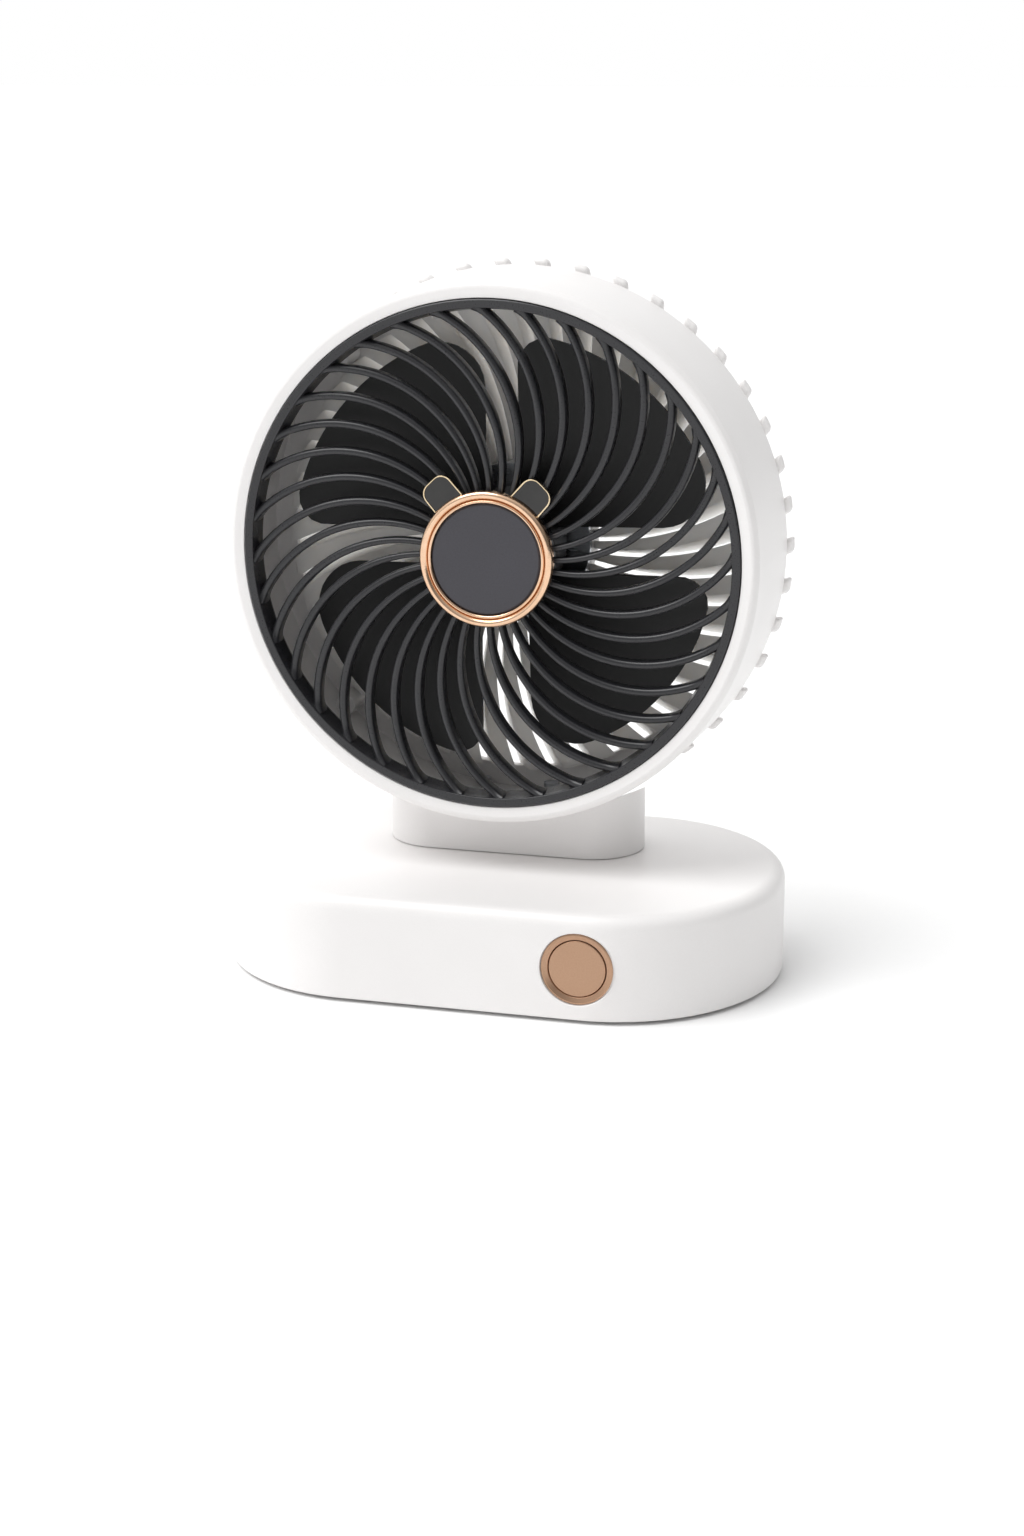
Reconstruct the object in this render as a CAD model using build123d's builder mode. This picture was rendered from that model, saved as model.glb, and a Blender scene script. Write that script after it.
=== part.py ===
"""Desk fan: a round fan head that tilts on a swivelling neck, over a long rounded base with the battery.

Millimetres. X is the fan's right, the front faces -Y and Z is up. The origin is on the resting plane,
under the middle of the base. Depths are Y values, so a smaller depth is nearer the front.
"""

import os
from math import cos, radians, sin, sqrt, tan

from build123d import *

# ---------------------------------------------------------------- driving dimensions
# base
base_length = 190.0
base_width = 120.0
base_top = 36.0
base_flat = 40.0  # half the straight part of the front and back
base_wall = 2.4
base_edge = 4.5  # rounding of the top edge
foot_gap = 1.2  # how far the feet hold the base up
plate_thickness = 2.4
foot_radius = 7.0
# neck
neck_length = 88.6
neck_depth = 36.0
neck_y = 17.0
neck_wall = 2.3
swivel_stop_angle = 40.0
pivot_height = 43.2
# head
axis_height = 141.0
rim_radius = 88.2
drum_radius = 90.0  # at the back edge of the drum
drum_front = -22.4
drum_back = 22.5
drum_wall = 2.4
grille_radius = 82.4
grille_ribs = 36
rib_width = 2.3
rib_bend_radius = 47.1
rib_sweep = 86.0  # degrees of that arc from the hub to the ring
vane_count = 42
vane_bend_radius = 94.0
vane_width_angle = 5.4  # degrees about the fan's axis, so a vane widens outwards
vane_twist = 4.0  # degrees that a vane leans clockwise from its front to its back
vane_depth = 8.5
nub_radius = 92.0  # outer ends of the nubs round the back edge
cover_back = 26.5
# hub
hub_radius = 21.0
trim_radius = 22.2
cap_radius = 18.0
tab_corners = ((19.5, 20.6), (27.5, 31.6), (47.5, 30.4), (51.0, 20.6))  # angle from the top, radius
tab_rounding = 3.8
# fan
blade_count = 4
blade_tip = 71.0
blade_first_angle = 44.0  # clockwise from the top
blade_gap = 14.0  # between one blade's edge and the next
blade_leading_corner = 9.0
blade_trailing_corner = 15.0
blade_thickness = 1.7
fan_hub_radius = 19.0
shaft_radius = 1.5
# button
button_x = 39.5
button_z = 18.2
button_radius = 9.3
bezel_radius = 11.75
button_travel = 1.2
# fits
running_gap = 0.03
loose_gap = 0.3

os.makedirs("parts", exist_ok=True)

# ---------------------------------------------------------------- shared geometry
fan_axis = Axis((0, 0, axis_height), (0, 1, 0))
turning_plane = Plane.XY.offset(axis_height)  # local x is the radius, local y the depth
plate_bottom = foot_gap
plate_top = foot_gap + plate_thickness
shell_ceiling = base_top - base_wall
front_face = -base_width / 2


def head_plane(depth):
    """Plane across the fan's axis: local x is +X, local y is up, and its normal is the front."""
    return Plane(origin=(0, depth, axis_height), x_dir=(1, 0, 0), z_dir=(0, -1, 0))


def front_plane(depth, x, z):
    """Plane that faces the front, with its origin at x and z."""
    return Plane(origin=(x, depth, z), x_dir=(1, 0, 0), z_dir=(0, -1, 0))


def turned(points, mode=Mode.ADD):
    """Turn a closed outline of (radius, depth) points about the fan's axis, in the part being built."""
    with BuildSketch(turning_plane) as outline:
        with BuildLine():
            Polyline(*points, close=True)
        make_face()
    revolve(outline.sketch, axis=fan_axis, mode=mode)


def head_ring(front, back, outer, inner=0.0, mode=Mode.ADD):
    """Add a ring about the fan's axis, from one depth to another."""
    turned([(inner, front), (outer, front), (outer, back), (inner, back)], mode)


def round_bar(plane, radius, length, mode=Mode.ADD):
    """Add a round bar from a plane along its normal."""
    with BuildSketch(plane) as section:
        Circle(radius)
    extrude(section.sketch, amount=length, mode=mode)


def block(low, high, mode=Mode.ADD):
    """Add a box between two opposite corners."""
    size = [b - a for a, b in zip(low, high)]
    middle = tuple((a + b) / 2 for a, b in zip(low, high))
    with Locations(middle):
        Box(*size, mode=mode)


def upright_screw(x, y, head_bottom, head_height, head_radius, shank_radius, shank_end):
    """Add a pan-head screw driven upwards, with a cross recess left plain."""
    round_bar(Plane(origin=(x, y, head_bottom)), head_radius, head_height)
    round_bar(Plane(origin=(x, y, head_bottom)), shank_radius, shank_end - head_bottom)


def axial_screw(radius, angle, head_depth, head_height, tip_depth):
    """Add a small pan-head screw along the fan's axis, head to the back, at an angle from the top."""
    x = radius * sin(radians(angle))
    z = axis_height + radius * cos(radians(angle))
    round_bar(front_plane(head_depth, x, z), 2.2, head_height)
    round_bar(front_plane(head_depth, x, z), 1.15, head_depth - tip_depth)


def finish(piece, name):
    """Name a finished piece and write it."""
    piece.part.label = name
    export_step(piece.part, f"parts/{name}.step")


def circles_of(piece, radius, front_only=False):
    """The round edges of a piece that have a given radius about the fan's axis."""
    found = piece.edges().filter_by(GeomType.CIRCLE).filter_by(lambda edge: abs(edge.radius - radius) < 0.02)
    return found.group_by(Axis.Y)[0] if front_only else found


def base_outline(inset):
    """The base's outline, moved in by inset: straight front and back with softly elliptic ends."""
    half_width = base_width / 2 - inset
    end_length = base_length / 2 - base_flat - inset
    with BuildSketch() as outline:
        Rectangle(2 * base_flat, 2 * half_width)
        with Locations((-base_flat, 0), (base_flat, 0)):
            Ellipse(end_length, half_width)
    return outline.sketch


def neck_outline(inset):
    """The neck's outline, moved in by inset: a slot with half-round ends."""
    with BuildSketch() as outline:
        with Locations((0, neck_y)):
            SlotOverall(neck_length - 2 * inset, neck_depth - 2 * inset)
    return outline.sketch


def lifted(sketch, height):
    """The same sketch at another height."""
    return sketch.moved(Location((0, 0, height)))


# ================================================================ base
case_screw_places = [(-62, -46), (62, -46), (-62, 46), (62, 46)]
foot_places = [(-70, -20), (70, -20), (-70, 20), (70, 20)]
boss_radius = 3.6
swivel_hole = 14.0
stop_post_angle = swivel_stop_angle + 15.0
stop_radius = 22.5
port_x = 20.0
port_z = 12.4

with BuildPart() as base_shell:
    extrude(lifted(base_outline(0), foot_gap), amount=base_top - foot_gap)
    fillet(base_shell.faces().sort_by(Axis.Z)[-1].outer_wire().edges(), base_edge)
    fillet(base_shell.faces().sort_by(Axis.Z)[0].outer_wire().edges(), 0.8)
    extrude(lifted(base_outline(base_wall), foot_gap), amount=shell_ceiling - foot_gap, mode=Mode.SUBTRACT)
    for x, y in case_screw_places:
        round_bar(Plane(origin=(x, y, plate_top + 0.05)), boss_radius, shell_ceiling - plate_top)
        round_bar(Plane(origin=(x, y, plate_top + 0.05)), 1.3, 14, Mode.SUBTRACT)
    for side in (-1, 1):
        angle = radians(90 + side * stop_post_angle)
        post = (stop_radius * cos(angle), neck_y + stop_radius * sin(angle), shell_ceiling - 4.5)
        round_bar(Plane(origin=post), 2.0, 5.0)
    round_bar(Plane(origin=(0, neck_y, shell_ceiling - 1)), swivel_hole, base_wall + 2, Mode.SUBTRACT)
    # seat and hole for the button
    round_bar(front_plane(front_face + 1.2, button_x, button_z), bezel_radius + 0.25, 3, Mode.SUBTRACT)
    seat_mouth = base_shell.edges().filter_by(GeomType.CIRCLE).group_by(Axis.Y)[0]
    fillet(seat_mouth.filter_by(lambda edge: abs(edge.radius - bezel_radius - 0.25) < 0.01), 0.35)
    round_bar(front_plane(front_face + 6, button_x, button_z), 10.9, 8, Mode.SUBTRACT)
    # charging port
    with BuildSketch(front_plane(base_width / 2 + 1, port_x, port_z)):
        SlotOverall(9.6, 3.8)
    extrude(amount=8, both=True, mode=Mode.SUBTRACT)
finish(base_shell, "base_shell")

with BuildPart() as base_plate:
    extrude(lifted(base_outline(base_wall + 0.2), plate_bottom), amount=plate_thickness)
    for x, y in foot_places:
        round_bar(Plane(origin=(x, y, plate_bottom)), foot_radius + 0.2, 1.0, Mode.SUBTRACT)
    for x, y in case_screw_places:
        round_bar(Plane(origin=(x, y, plate_bottom)), 3.1, 1.4, Mode.SUBTRACT)
        round_bar(Plane(origin=(x, y, plate_bottom)), 1.6, plate_thickness, Mode.SUBTRACT)
finish(base_plate, "base_plate")

with BuildPart() as rubber_feet:
    for x, y in foot_places:
        round_bar(Plane(origin=(x, y, 0)), foot_radius, foot_gap + 1.0)
    chamfer(rubber_feet.faces().filter_by(Axis.Z).group_by(Axis.Z)[0].edges(), 0.5)
finish(rubber_feet, "rubber_feet")

with BuildPart() as base_screws:
    for x, y in case_screw_places:
        upright_screw(x, y, plate_bottom + 0.1, 1.3, 2.8, 1.25, 15.0)
finish(base_screws, "base_screws")

ballast_top = plate_top + 6.0
with BuildPart() as ballast_plate:
    block((0, -44, plate_top + 0.05), (54, -4, ballast_top))
    fillet(ballast_plate.edges().filter_by(Axis.Z), 4)
finish(ballast_plate, "ballast_plate")

cell_radius = 9.1
cell_height = 14.4
cell_rows = (-22.0, -2.0)
cell_left = -74.0
cell_length = 65.0
with BuildPart() as battery_tray:
    block(
        (cell_left - 2, cell_rows[0] - 11.5, plate_top + 0.05),
        (cell_left + cell_length + 2, cell_rows[-1] + 11.5, cell_height - 2),
    )
    for y in cell_rows:
        end = Plane(origin=(cell_left - 0.2, y, cell_height), x_dir=(0, 1, 0), z_dir=(1, 0, 0))
        round_bar(end, cell_radius + 0.1, cell_length + 0.4, Mode.SUBTRACT)
    fillet(battery_tray.edges().filter_by(Axis.Z).group_by(Axis.X)[-1], 2)
finish(battery_tray, "battery_tray")

with BuildPart() as battery_cells:
    for y in cell_rows:
        end = Plane(origin=(cell_left, y, cell_height), x_dir=(0, 1, 0), z_dir=(1, 0, 0))
        round_bar(end, cell_radius, cell_length)
    chamfer(battery_cells.edges().filter_by(GeomType.CIRCLE), 0.4)
finish(battery_cells, "battery_cells")

board_bottom = port_z - 1.65 - 1.6
board_screw_places = [(-8, 22), (48, 22), (-8, 46), (48, 46)]
with BuildPart() as board_posts:
    for x, y in board_screw_places:
        round_bar(Plane(origin=(x, y, plate_top + 0.05)), 3.0, board_bottom - plate_top - 0.05)
        round_bar(Plane(origin=(x, y, plate_top + 1)), 0.95, board_bottom - plate_top, Mode.SUBTRACT)
finish(board_posts, "board_posts")

with BuildPart() as charging_board:
    block((-12, 18, board_bottom), (52, 50.5, board_bottom + 1.6))
    block((port_x - 9, 50.5, board_bottom), (port_x + 9, 56.5, board_bottom + 1.6))
    for x, y in board_screw_places:
        round_bar(Plane(origin=(x, y, board_bottom)), 1.3, 1.6, Mode.SUBTRACT)
    block((2, 30, board_bottom + 1.6), (12, 40, board_bottom + 3.2))
    block((24, 26, board_bottom + 1.6), (32, 34, board_bottom + 5.0))
    round_bar(Plane(origin=(38, 40, board_bottom + 1.6)), 4.0, 8.0)
finish(charging_board, "charging_board")

with BuildPart() as board_screws:
    for x, y in board_screw_places:
        round_bar(Plane(origin=(x, y, board_bottom + 1.65)), 2.0, 1.2)
        round_bar(Plane(origin=(x, y, plate_top + 1.5)), 0.9, board_bottom + 0.6 - plate_top)
finish(board_screws, "board_screws")

with BuildPart() as usb_socket:
    with BuildSketch(front_plane(base_width / 2 - 0.7, port_x, port_z)):
        SlotOverall(8.94, 3.26)
        SlotOverall(8.34, 2.66, mode=Mode.SUBTRACT)
    extrude(amount=7.3)
    with BuildSketch(front_plane(base_width / 2 - 7.0, port_x, port_z)):
        SlotOverall(8.4, 2.7)
    extrude(amount=1.0)
    block(
        (port_x - 3.3, base_width / 2 - 7.2, port_z - 0.35),
        (port_x + 3.3, base_width / 2 - 1.6, port_z + 0.35),
    )
finish(usb_socket, "usb_socket")

# ---------------------------------------------------------------- button
bezel_front = front_face + 0.5
bezel_seat = front_face + 1.2
guide_back = front_face + 9.0
with BuildPart() as button_bezel:
    round_bar(front_plane(bezel_seat, button_x, button_z), bezel_radius, bezel_seat - bezel_front)
    fillet(button_bezel.faces().sort_by(Axis.Y)[0].edges(), 0.5)
    round_bar(front_plane(guide_back, button_x, button_z), 10.6, guide_back - bezel_seat)
    round_bar(front_plane(guide_back, button_x, button_z), button_radius + 0.15, 12, Mode.SUBTRACT)
finish(button_bezel, "button_bezel")

cap_front = bezel_front + 0.5
stem_end = front_face + 8.6
with BuildPart() as button_cap:
    round_bar(front_plane(cap_front + 2.0, button_x, button_z), button_radius, 2.0)
    fillet(button_cap.faces().sort_by(Axis.Y)[0].edges(), 0.5)
    round_bar(front_plane(cap_front + 6.0, button_x, button_z), button_radius, 4.0)
    round_bar(front_plane(cap_front + 6.0, button_x, button_z), button_radius - 1.4, 4.0, Mode.SUBTRACT)
    round_bar(front_plane(stem_end, button_x, button_z), 2.6, stem_end - cap_front - 1.0)
finish(button_cap, "button_cap")

switch_front = front_face + 11.0
switch_back = front_face + 15.0
plunger_reach = 1.5  # how far the plunger stands in the switch at rest
with BuildPart() as switch_plunger:
    plunger_end = switch_front + plunger_reach
    round_bar(front_plane(plunger_end, button_x, button_z), 1.7, plunger_end - stem_end)
finish(switch_plunger, "switch_plunger")

with BuildPart() as button_switch:
    block(
        (button_x - 3.1, switch_front, button_z - 3.1),
        (button_x + 3.1, switch_back, button_z + 3.1),
    )
    round_bar(front_plane(plunger_end + button_travel + 0.5, button_x, button_z), 1.75, 4, Mode.SUBTRACT)
finish(button_switch, "button_switch")

with BuildPart() as switch_board:
    block((button_x - 9, switch_back, ballast_top + 0.1), (button_x + 9, switch_back + 1.6, button_z + 9))
finish(switch_board, "switch_board")

# ================================================================ neck
floor_bottom = base_top + 0.4
floor_top = floor_bottom + 2.6
bracket_pocket = floor_top - 1.0
hub_bottom = shell_ceiling - 0.9
retainer_bottom = hub_bottom - 2.3
saddle_front_gap = 3.1  # between the drum's front rim radius and the saddle at the neck's front
saddle_slope = 0.167  # how fast the saddle falls away towards the back
saddle_radius = rim_radius + saddle_front_gap
neck_front = neck_y - neck_depth / 2
neck_back = neck_y + neck_depth / 2


def saddle_cone(extra, mode):
    """A cone about the fan's axis, wider at the back, that leaves room for the tilting drum."""
    front = neck_front - 2
    back = neck_back + 2
    wide_front = saddle_radius + extra + saddle_slope * (front - neck_front)
    wide_back = saddle_radius + extra + saddle_slope * (back - neck_front)
    turned([(0, front), (wide_front, front), (wide_back, back), (0, back)], mode)


neck_screw_x = 34.0
ear_inner = 22.6
ear_thickness = 1.6
foot_half = 20.6
with BuildPart() as neck_cavity:
    extrude(lifted(neck_outline(neck_wall), base_top), amount=32)
    saddle_cone(2.4, Mode.SUBTRACT)
    for side in (-1, 1):
        round_bar(Plane(origin=(side * neck_screw_x, neck_y, floor_top)), 3.6, 40, Mode.SUBTRACT)

with BuildPart() as neck_shell:
    extrude(lifted(neck_outline(0), base_top + loose_gap), amount=30)
    saddle_cone(0, Mode.SUBTRACT)
    add(neck_cavity.part, mode=Mode.SUBTRACT)
    for side in (-1, 1):
        round_bar(Plane(origin=(side * neck_screw_x, neck_y, floor_top)), 1.2, 8, Mode.SUBTRACT)
    block((-26, neck_y - 9.5, floor_top + 2), (26, neck_y + 9.5, 80), Mode.SUBTRACT)
finish(neck_shell, "neck_shell")

with BuildPart() as swivel_plate:
    extrude(lifted(neck_outline(neck_wall + 0.1), floor_bottom), amount=floor_top - floor_bottom)
    block((-26, neck_y - 8, bracket_pocket), (26, neck_y + 8, floor_top + 1), Mode.SUBTRACT)
    round_bar(Plane(origin=(0, neck_y, hub_bottom)), 13.7, floor_bottom - hub_bottom)
    round_bar(Plane(origin=(0, neck_y, hub_bottom)), 9.5, 12, Mode.SUBTRACT)
    for side in (-1, 1):
        place = (side * neck_screw_x, neck_y, floor_bottom)
        round_bar(Plane(origin=place), 2.9, 1.3, Mode.SUBTRACT)
        round_bar(Plane(origin=place), 1.5, 4, Mode.SUBTRACT)
    for angle in (30, 150, 270):
        place = (11.6 * cos(radians(angle)), neck_y + 11.6 * sin(radians(angle)), hub_bottom)
        round_bar(Plane(origin=place), 1.0, 3.5, Mode.SUBTRACT)
finish(swivel_plate, "swivel_plate")

with BuildPart() as neck_screws:
    for side in (-1, 1):
        upright_screw(side * neck_screw_x, neck_y, floor_bottom + 0.1, 1.1, 2.6, 1.15, 45.0)
finish(neck_screws, "neck_screws")

with BuildPart() as swivel_retainer:
    round_bar(Plane(origin=(0, neck_y, retainer_bottom)), 19.0, hub_bottom - retainer_bottom)
    block((-3, neck_y + 17, retainer_bottom), (3, neck_y + 24.4, hub_bottom))
    round_bar(Plane(origin=(0, neck_y, retainer_bottom)), 9.5, 4, Mode.SUBTRACT)
    for angle in (30, 150, 270):
        place = (11.6 * cos(radians(angle)), neck_y + 11.6 * sin(radians(angle)), retainer_bottom)
        round_bar(Plane(origin=place), 1.3, 4, Mode.SUBTRACT)
finish(swivel_retainer, "swivel_retainer")

with BuildPart() as retainer_screws:
    for angle in (30, 150, 270):
        x = 11.6 * cos(radians(angle))
        y = neck_y + 11.6 * sin(radians(angle))
        upright_screw(x, y, retainer_bottom - 1.25, 1.2, 2.0, 0.95, hub_bottom + 3.2)
finish(retainer_screws, "retainer_screws")

with BuildPart() as swivel_washer:
    round_bar(Plane(origin=(0, neck_y, shell_ceiling - 0.55)), 18.8, 0.5)
    round_bar(Plane(origin=(0, neck_y, shell_ceiling - 0.55)), 14.2, 0.5, Mode.SUBTRACT)
finish(swivel_washer, "swivel_washer")

ear_radius = 3.3
pin_radius = 1.5
with BuildPart() as tilt_bracket:
    ear_reach = ear_inner + ear_thickness
    block((-ear_reach, neck_y - 7, bracket_pocket), (ear_reach, neck_y + 7, bracket_pocket + 1.0))
    round_bar(Plane(origin=(0, neck_y, bracket_pocket)), 5.0, 1.0, Mode.SUBTRACT)
    for side in (-1, 1):
        low_x = ear_inner if side > 0 else -ear_reach
        block(
            (low_x, neck_y - ear_radius, bracket_pocket),
            (low_x + ear_thickness, neck_y + ear_radius, pivot_height),
        )
    for side in (-1, 1):
        low_x = ear_inner if side > 0 else -ear_reach
        ear = Plane(origin=(low_x, neck_y, pivot_height), x_dir=(0, 1, 0), z_dir=(1, 0, 0))
        round_bar(ear, ear_radius, ear_thickness)
        round_bar(ear, pin_radius + 0.02, ear_thickness, Mode.SUBTRACT)
finish(tilt_bracket, "tilt_bracket")

pin_left = Plane(origin=(-ear_reach, neck_y, pivot_height), x_dir=(0, 1, 0), z_dir=(1, 0, 0))
pin_right = Plane(origin=(ear_reach, neck_y, pivot_height), x_dir=(0, 1, 0), z_dir=(1, 0, 0))
with BuildPart() as tilt_pin:
    round_bar(pin_left, pin_radius, 2 * ear_reach + 1.2)
    round_bar(pin_left, 2.6, -1.2)
finish(tilt_pin, "tilt_pin")

with BuildPart() as tilt_nut:
    with BuildSketch(pin_right.offset(0.1)):
        RegularPolygon(2.9, 6)
        Circle(pin_radius + 0.01, mode=Mode.SUBTRACT)
    extrude(amount=1.1)
finish(tilt_nut, "tilt_nut")

with BuildPart() as friction_washers:
    for low_x in (-ear_inner + 0.05, foot_half + 0.35):
        face = Plane(origin=(low_x, neck_y, pivot_height), x_dir=(0, 1, 0), z_dir=(1, 0, 0))
        with BuildSketch(face) as ring:
            Circle(3.1)
            Circle(pin_radius + 0.02, mode=Mode.SUBTRACT)
        extrude(ring.sketch, amount=ear_inner - foot_half - 0.4)
finish(friction_washers, "friction_washers")

# ================================================================ head
drum_outside = [
    (82.7, drum_front + 0.5),
    (86.6, drum_front),
    (rim_radius, drum_front + 2.2),
    (drum_radius, drum_back),
]
lip_back = drum_front + 5.0
cover_screw_angles = (45, 135, 225, 315)
cover_screw_radius = 84.4
foot_screw_x = 12.0

with BuildPart() as head_shell:
    inner_back = drum_radius - drum_wall
    inner_front = rim_radius - drum_wall
    turned(drum_outside + [(inner_back, drum_back), (inner_front, lip_back), (82.7, lip_back)])
    fillet(circles_of(head_shell, 86.6) + circles_of(head_shell, rim_radius), 1.4)
    fillet(circles_of(head_shell, drum_radius), 0.8)
    fillet(circles_of(head_shell, 82.7, front_only=True), 0.3)
    # bosses for the screws of the back cover
    for angle in cover_screw_angles:
        x = cover_screw_radius * sin(radians(angle))
        z = axis_height + cover_screw_radius * cos(radians(angle))
        round_bar(front_plane(drum_back, x, z), 3.4, 12)
        round_bar(front_plane(drum_back, x, z), 1.2, 10, Mode.SUBTRACT)
    for side in (-1, 1):
        round_bar(Plane(origin=(side * foot_screw_x, neck_y, 45)), 1.5, 12, Mode.SUBTRACT)
finish(head_shell, "head_shell")

foot_radius_at_pin = 3.9
with BuildPart() as head_foot:
    with BuildSketch(Plane(origin=(-foot_half, neck_y, 0), x_dir=(0, 1, 0), z_dir=(1, 0, 0))):
        with Locations((0, pivot_height)):
            Circle(foot_radius_at_pin)
        with BuildLine():
            Polyline(
                (-foot_radius_at_pin, pivot_height),
                (foot_radius_at_pin, pivot_height),
                (5.4, 58),
                (-6.4, 58),
                close=True,
            )
        make_face()
    extrude(amount=2 * foot_half)
    drum_hollow = [
        (0, drum_front),
        (rim_radius + 0.05, drum_front + 2.2),
        (drum_radius + 0.05, drum_back),
        (0, drum_back),
    ]
    turned(drum_hollow, Mode.SUBTRACT)
    pin_hole = Plane(origin=(-foot_half, neck_y, pivot_height), x_dir=(0, 1, 0), z_dir=(1, 0, 0))
    round_bar(pin_hole, pin_radius + running_gap, 2 * foot_half, Mode.SUBTRACT)
    for side in (-1, 1):
        round_bar(Plane(origin=(side * foot_screw_x, neck_y, 45.6)), 1.15, 12, Mode.SUBTRACT)
finish(head_foot, "head_foot")

with BuildPart() as foot_screws:
    for side in (-1, 1):
        seat = axis_height - sqrt((rim_radius + 1.6 - drum_wall) ** 2 - (foot_screw_x + 2.6) ** 2) + 0.9
        round_bar(Plane(origin=(side * foot_screw_x, neck_y, seat)), 2.6, 1.6)
        round_bar(Plane(origin=(side * foot_screw_x, neck_y, 46)), 1.1, seat - 46)
finish(foot_screws, "foot_screws")

# ---------------------------------------------------------------- back cover
cover_front = drum_back + 0.3
hub_cup_front = 14.6
hub_cup_radius = 26.0
motor_screw_radius = 23.2
motor_screw_angles = (60, 180, 300)
cup_inner_radius = 20.6
cup_floor = 2.4
ring_inner_radius = 80.2  # inside the head shell's screw bosses, as the deep vanes have to end there
ring_outer_radius = 89.0
vane_root = 25.0
vane_end_sweep = 34.9  # degrees of the bend at which a vane meets the ring
nub_start_sweep = 38.6
nub_end_sweep = 42.6
nub_width_angle = 3.4


def turned_point(point, angle):
    """A flat point turned anticlockwise about the fan's axis."""
    x, y = point
    return (
        x * cos(radians(angle)) - y * sin(radians(angle)),
        x * sin(radians(angle)) + y * cos(radians(angle)),
    )


def vane_outline(depth, start_sweep, end_sweep, width_angle, turn):
    """A bar that leaves the axis square and bends anticlockwise, as wide at each radius as one angle."""
    bend_centre = (-vane_bend_radius, vane_root)
    sweep = end_sweep - start_sweep
    with BuildSketch(head_plane(depth)) as outline:
        with BuildLine():
            sides = []
            for lean in (turn - width_angle / 2, turn + width_angle / 2):
                centre = turned_point(bend_centre, lean)
                sides.append(CenterArc(centre, vane_bend_radius, start_sweep + lean, sweep))
            Line(sides[0] @ 0, sides[1] @ 0)
            Line(sides[0] @ 1, sides[1] @ 1)
        make_face()
    return outline.sketch


with BuildPart() as back_vane:
    vane_back = cover_back - 0.1
    front_outline = vane_outline(vane_back - vane_depth, 0, vane_end_sweep, vane_width_angle, vane_twist / 2)
    back_outline = vane_outline(vane_back, 0, vane_end_sweep, vane_width_angle, -vane_twist / 2)
    loft([front_outline, back_outline], ruled=True)

with BuildPart() as back_nub:
    nub = vane_outline(cover_back, nub_start_sweep, nub_end_sweep, nub_width_angle, -vane_twist / 2)
    extrude(nub, amount=cover_back - cover_front)
    head_ring(cover_front - 1, cover_back + 1, nub_radius + 9, nub_radius, Mode.SUBTRACT)

with BuildPart() as rear_cover:
    cover_ring = [
        (ring_inner_radius, cover_front),
        (ring_outer_radius, cover_front),
        (ring_outer_radius, cover_back - 1),
        (ring_outer_radius - 1, cover_back),
        (ring_inner_radius, cover_back),
    ]
    turned(cover_ring)
    motor_cup = [
        (0, cover_back - cup_floor),
        (cup_inner_radius, cover_back - cup_floor),
        (cup_inner_radius, hub_cup_front),
        (hub_cup_radius, hub_cup_front),
        (hub_cup_radius, cover_back - 1),
        (hub_cup_radius - 1, cover_back),
        (0, cover_back),
    ]
    turned(motor_cup)
    for index in range(vane_count):
        add(back_vane.part.rotate(fan_axis, index * 360 / vane_count))
        add(back_nub.part.rotate(fan_axis, index * 360 / vane_count))
    for angle in cover_screw_angles:
        x = cover_screw_radius * sin(radians(angle))
        z = axis_height + cover_screw_radius * cos(radians(angle))
        round_bar(front_plane(cover_back, x, z), 3.8, cover_back - cover_front)
        round_bar(front_plane(cover_back + 1, x, z), 2.4, 2.4, Mode.SUBTRACT)
        round_bar(front_plane(cover_back + 1, x, z), 1.4, 8, Mode.SUBTRACT)
    for angle in motor_screw_angles:
        x = motor_screw_radius * sin(radians(angle))
        z = axis_height + motor_screw_radius * cos(radians(angle))
        round_bar(front_plane(hub_cup_front + 9, x, z), 1.0, 12, Mode.SUBTRACT)
finish(rear_cover, "rear_cover")

with BuildPart() as cover_screws:
    for angle in cover_screw_angles:
        axial_screw(cover_screw_radius, angle, cover_back - 0.2, 1.15, drum_back - 9)
finish(cover_screws, "cover_screws")

# ---------------------------------------------------------------- front grille
ring_back = -12.0
rib_front = -20.6
rib_back = -15.2
boss_front = -21.5
boss_back = -14.8
ring_face_inner = 79.6
flange_radius = 84.8


def grille_rib(angle):
    """A bar of even width that leaves the hub square and bends anticlockwise on a round arc to the ring."""
    bend_centre = (-rib_bend_radius, hub_radius - 0.5)
    with BuildSketch(head_plane(rib_front)) as outline:
        with BuildLine():
            outer = CenterArc(bend_centre, rib_bend_radius + rib_width / 2, 0, rib_sweep)
            inner = CenterArc(bend_centre, rib_bend_radius - rib_width / 2, 0, rib_sweep)
            Line(outer @ 0, inner @ 0)
            Line(outer @ 1, inner @ 1)
        make_face()
    return outline.sketch.rotate(Axis((0, rib_front, axis_height), (0, 1, 0)), angle)


with BuildPart() as front_grille:
    flange_front = lip_back + 0.2
    flange_back = lip_back + 2.2
    grille_ring = [
        (ring_face_inner, drum_front + 0.3),
        (ring_face_inner + 0.6, drum_front - 0.1),
        (grille_radius - 0.6, drum_front - 0.1),
        (grille_radius, drum_front + 0.4),
        (grille_radius, flange_front),
        (flange_radius, flange_front),
        (flange_radius, flange_back),
        (grille_radius, flange_back),
        (grille_radius - 0.6, ring_back),
        (ring_face_inner + 0.4, ring_back),
        (ring_face_inner - 0.6, rib_back),
    ]
    turned(grille_ring)
    boss = [
        (0, boss_front),
        (hub_radius, boss_front),
        (hub_radius, boss_back),
        (hub_radius - 2, boss_back),
        (hub_radius - 2, boss_front + 2),
        (0, boss_front + 2),
    ]
    turned(boss)
    for index in range(grille_ribs):
        extrude(grille_rib(index * 360 / grille_ribs), amount=rib_front - rib_back)
finish(front_grille, "front_grille")

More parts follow.
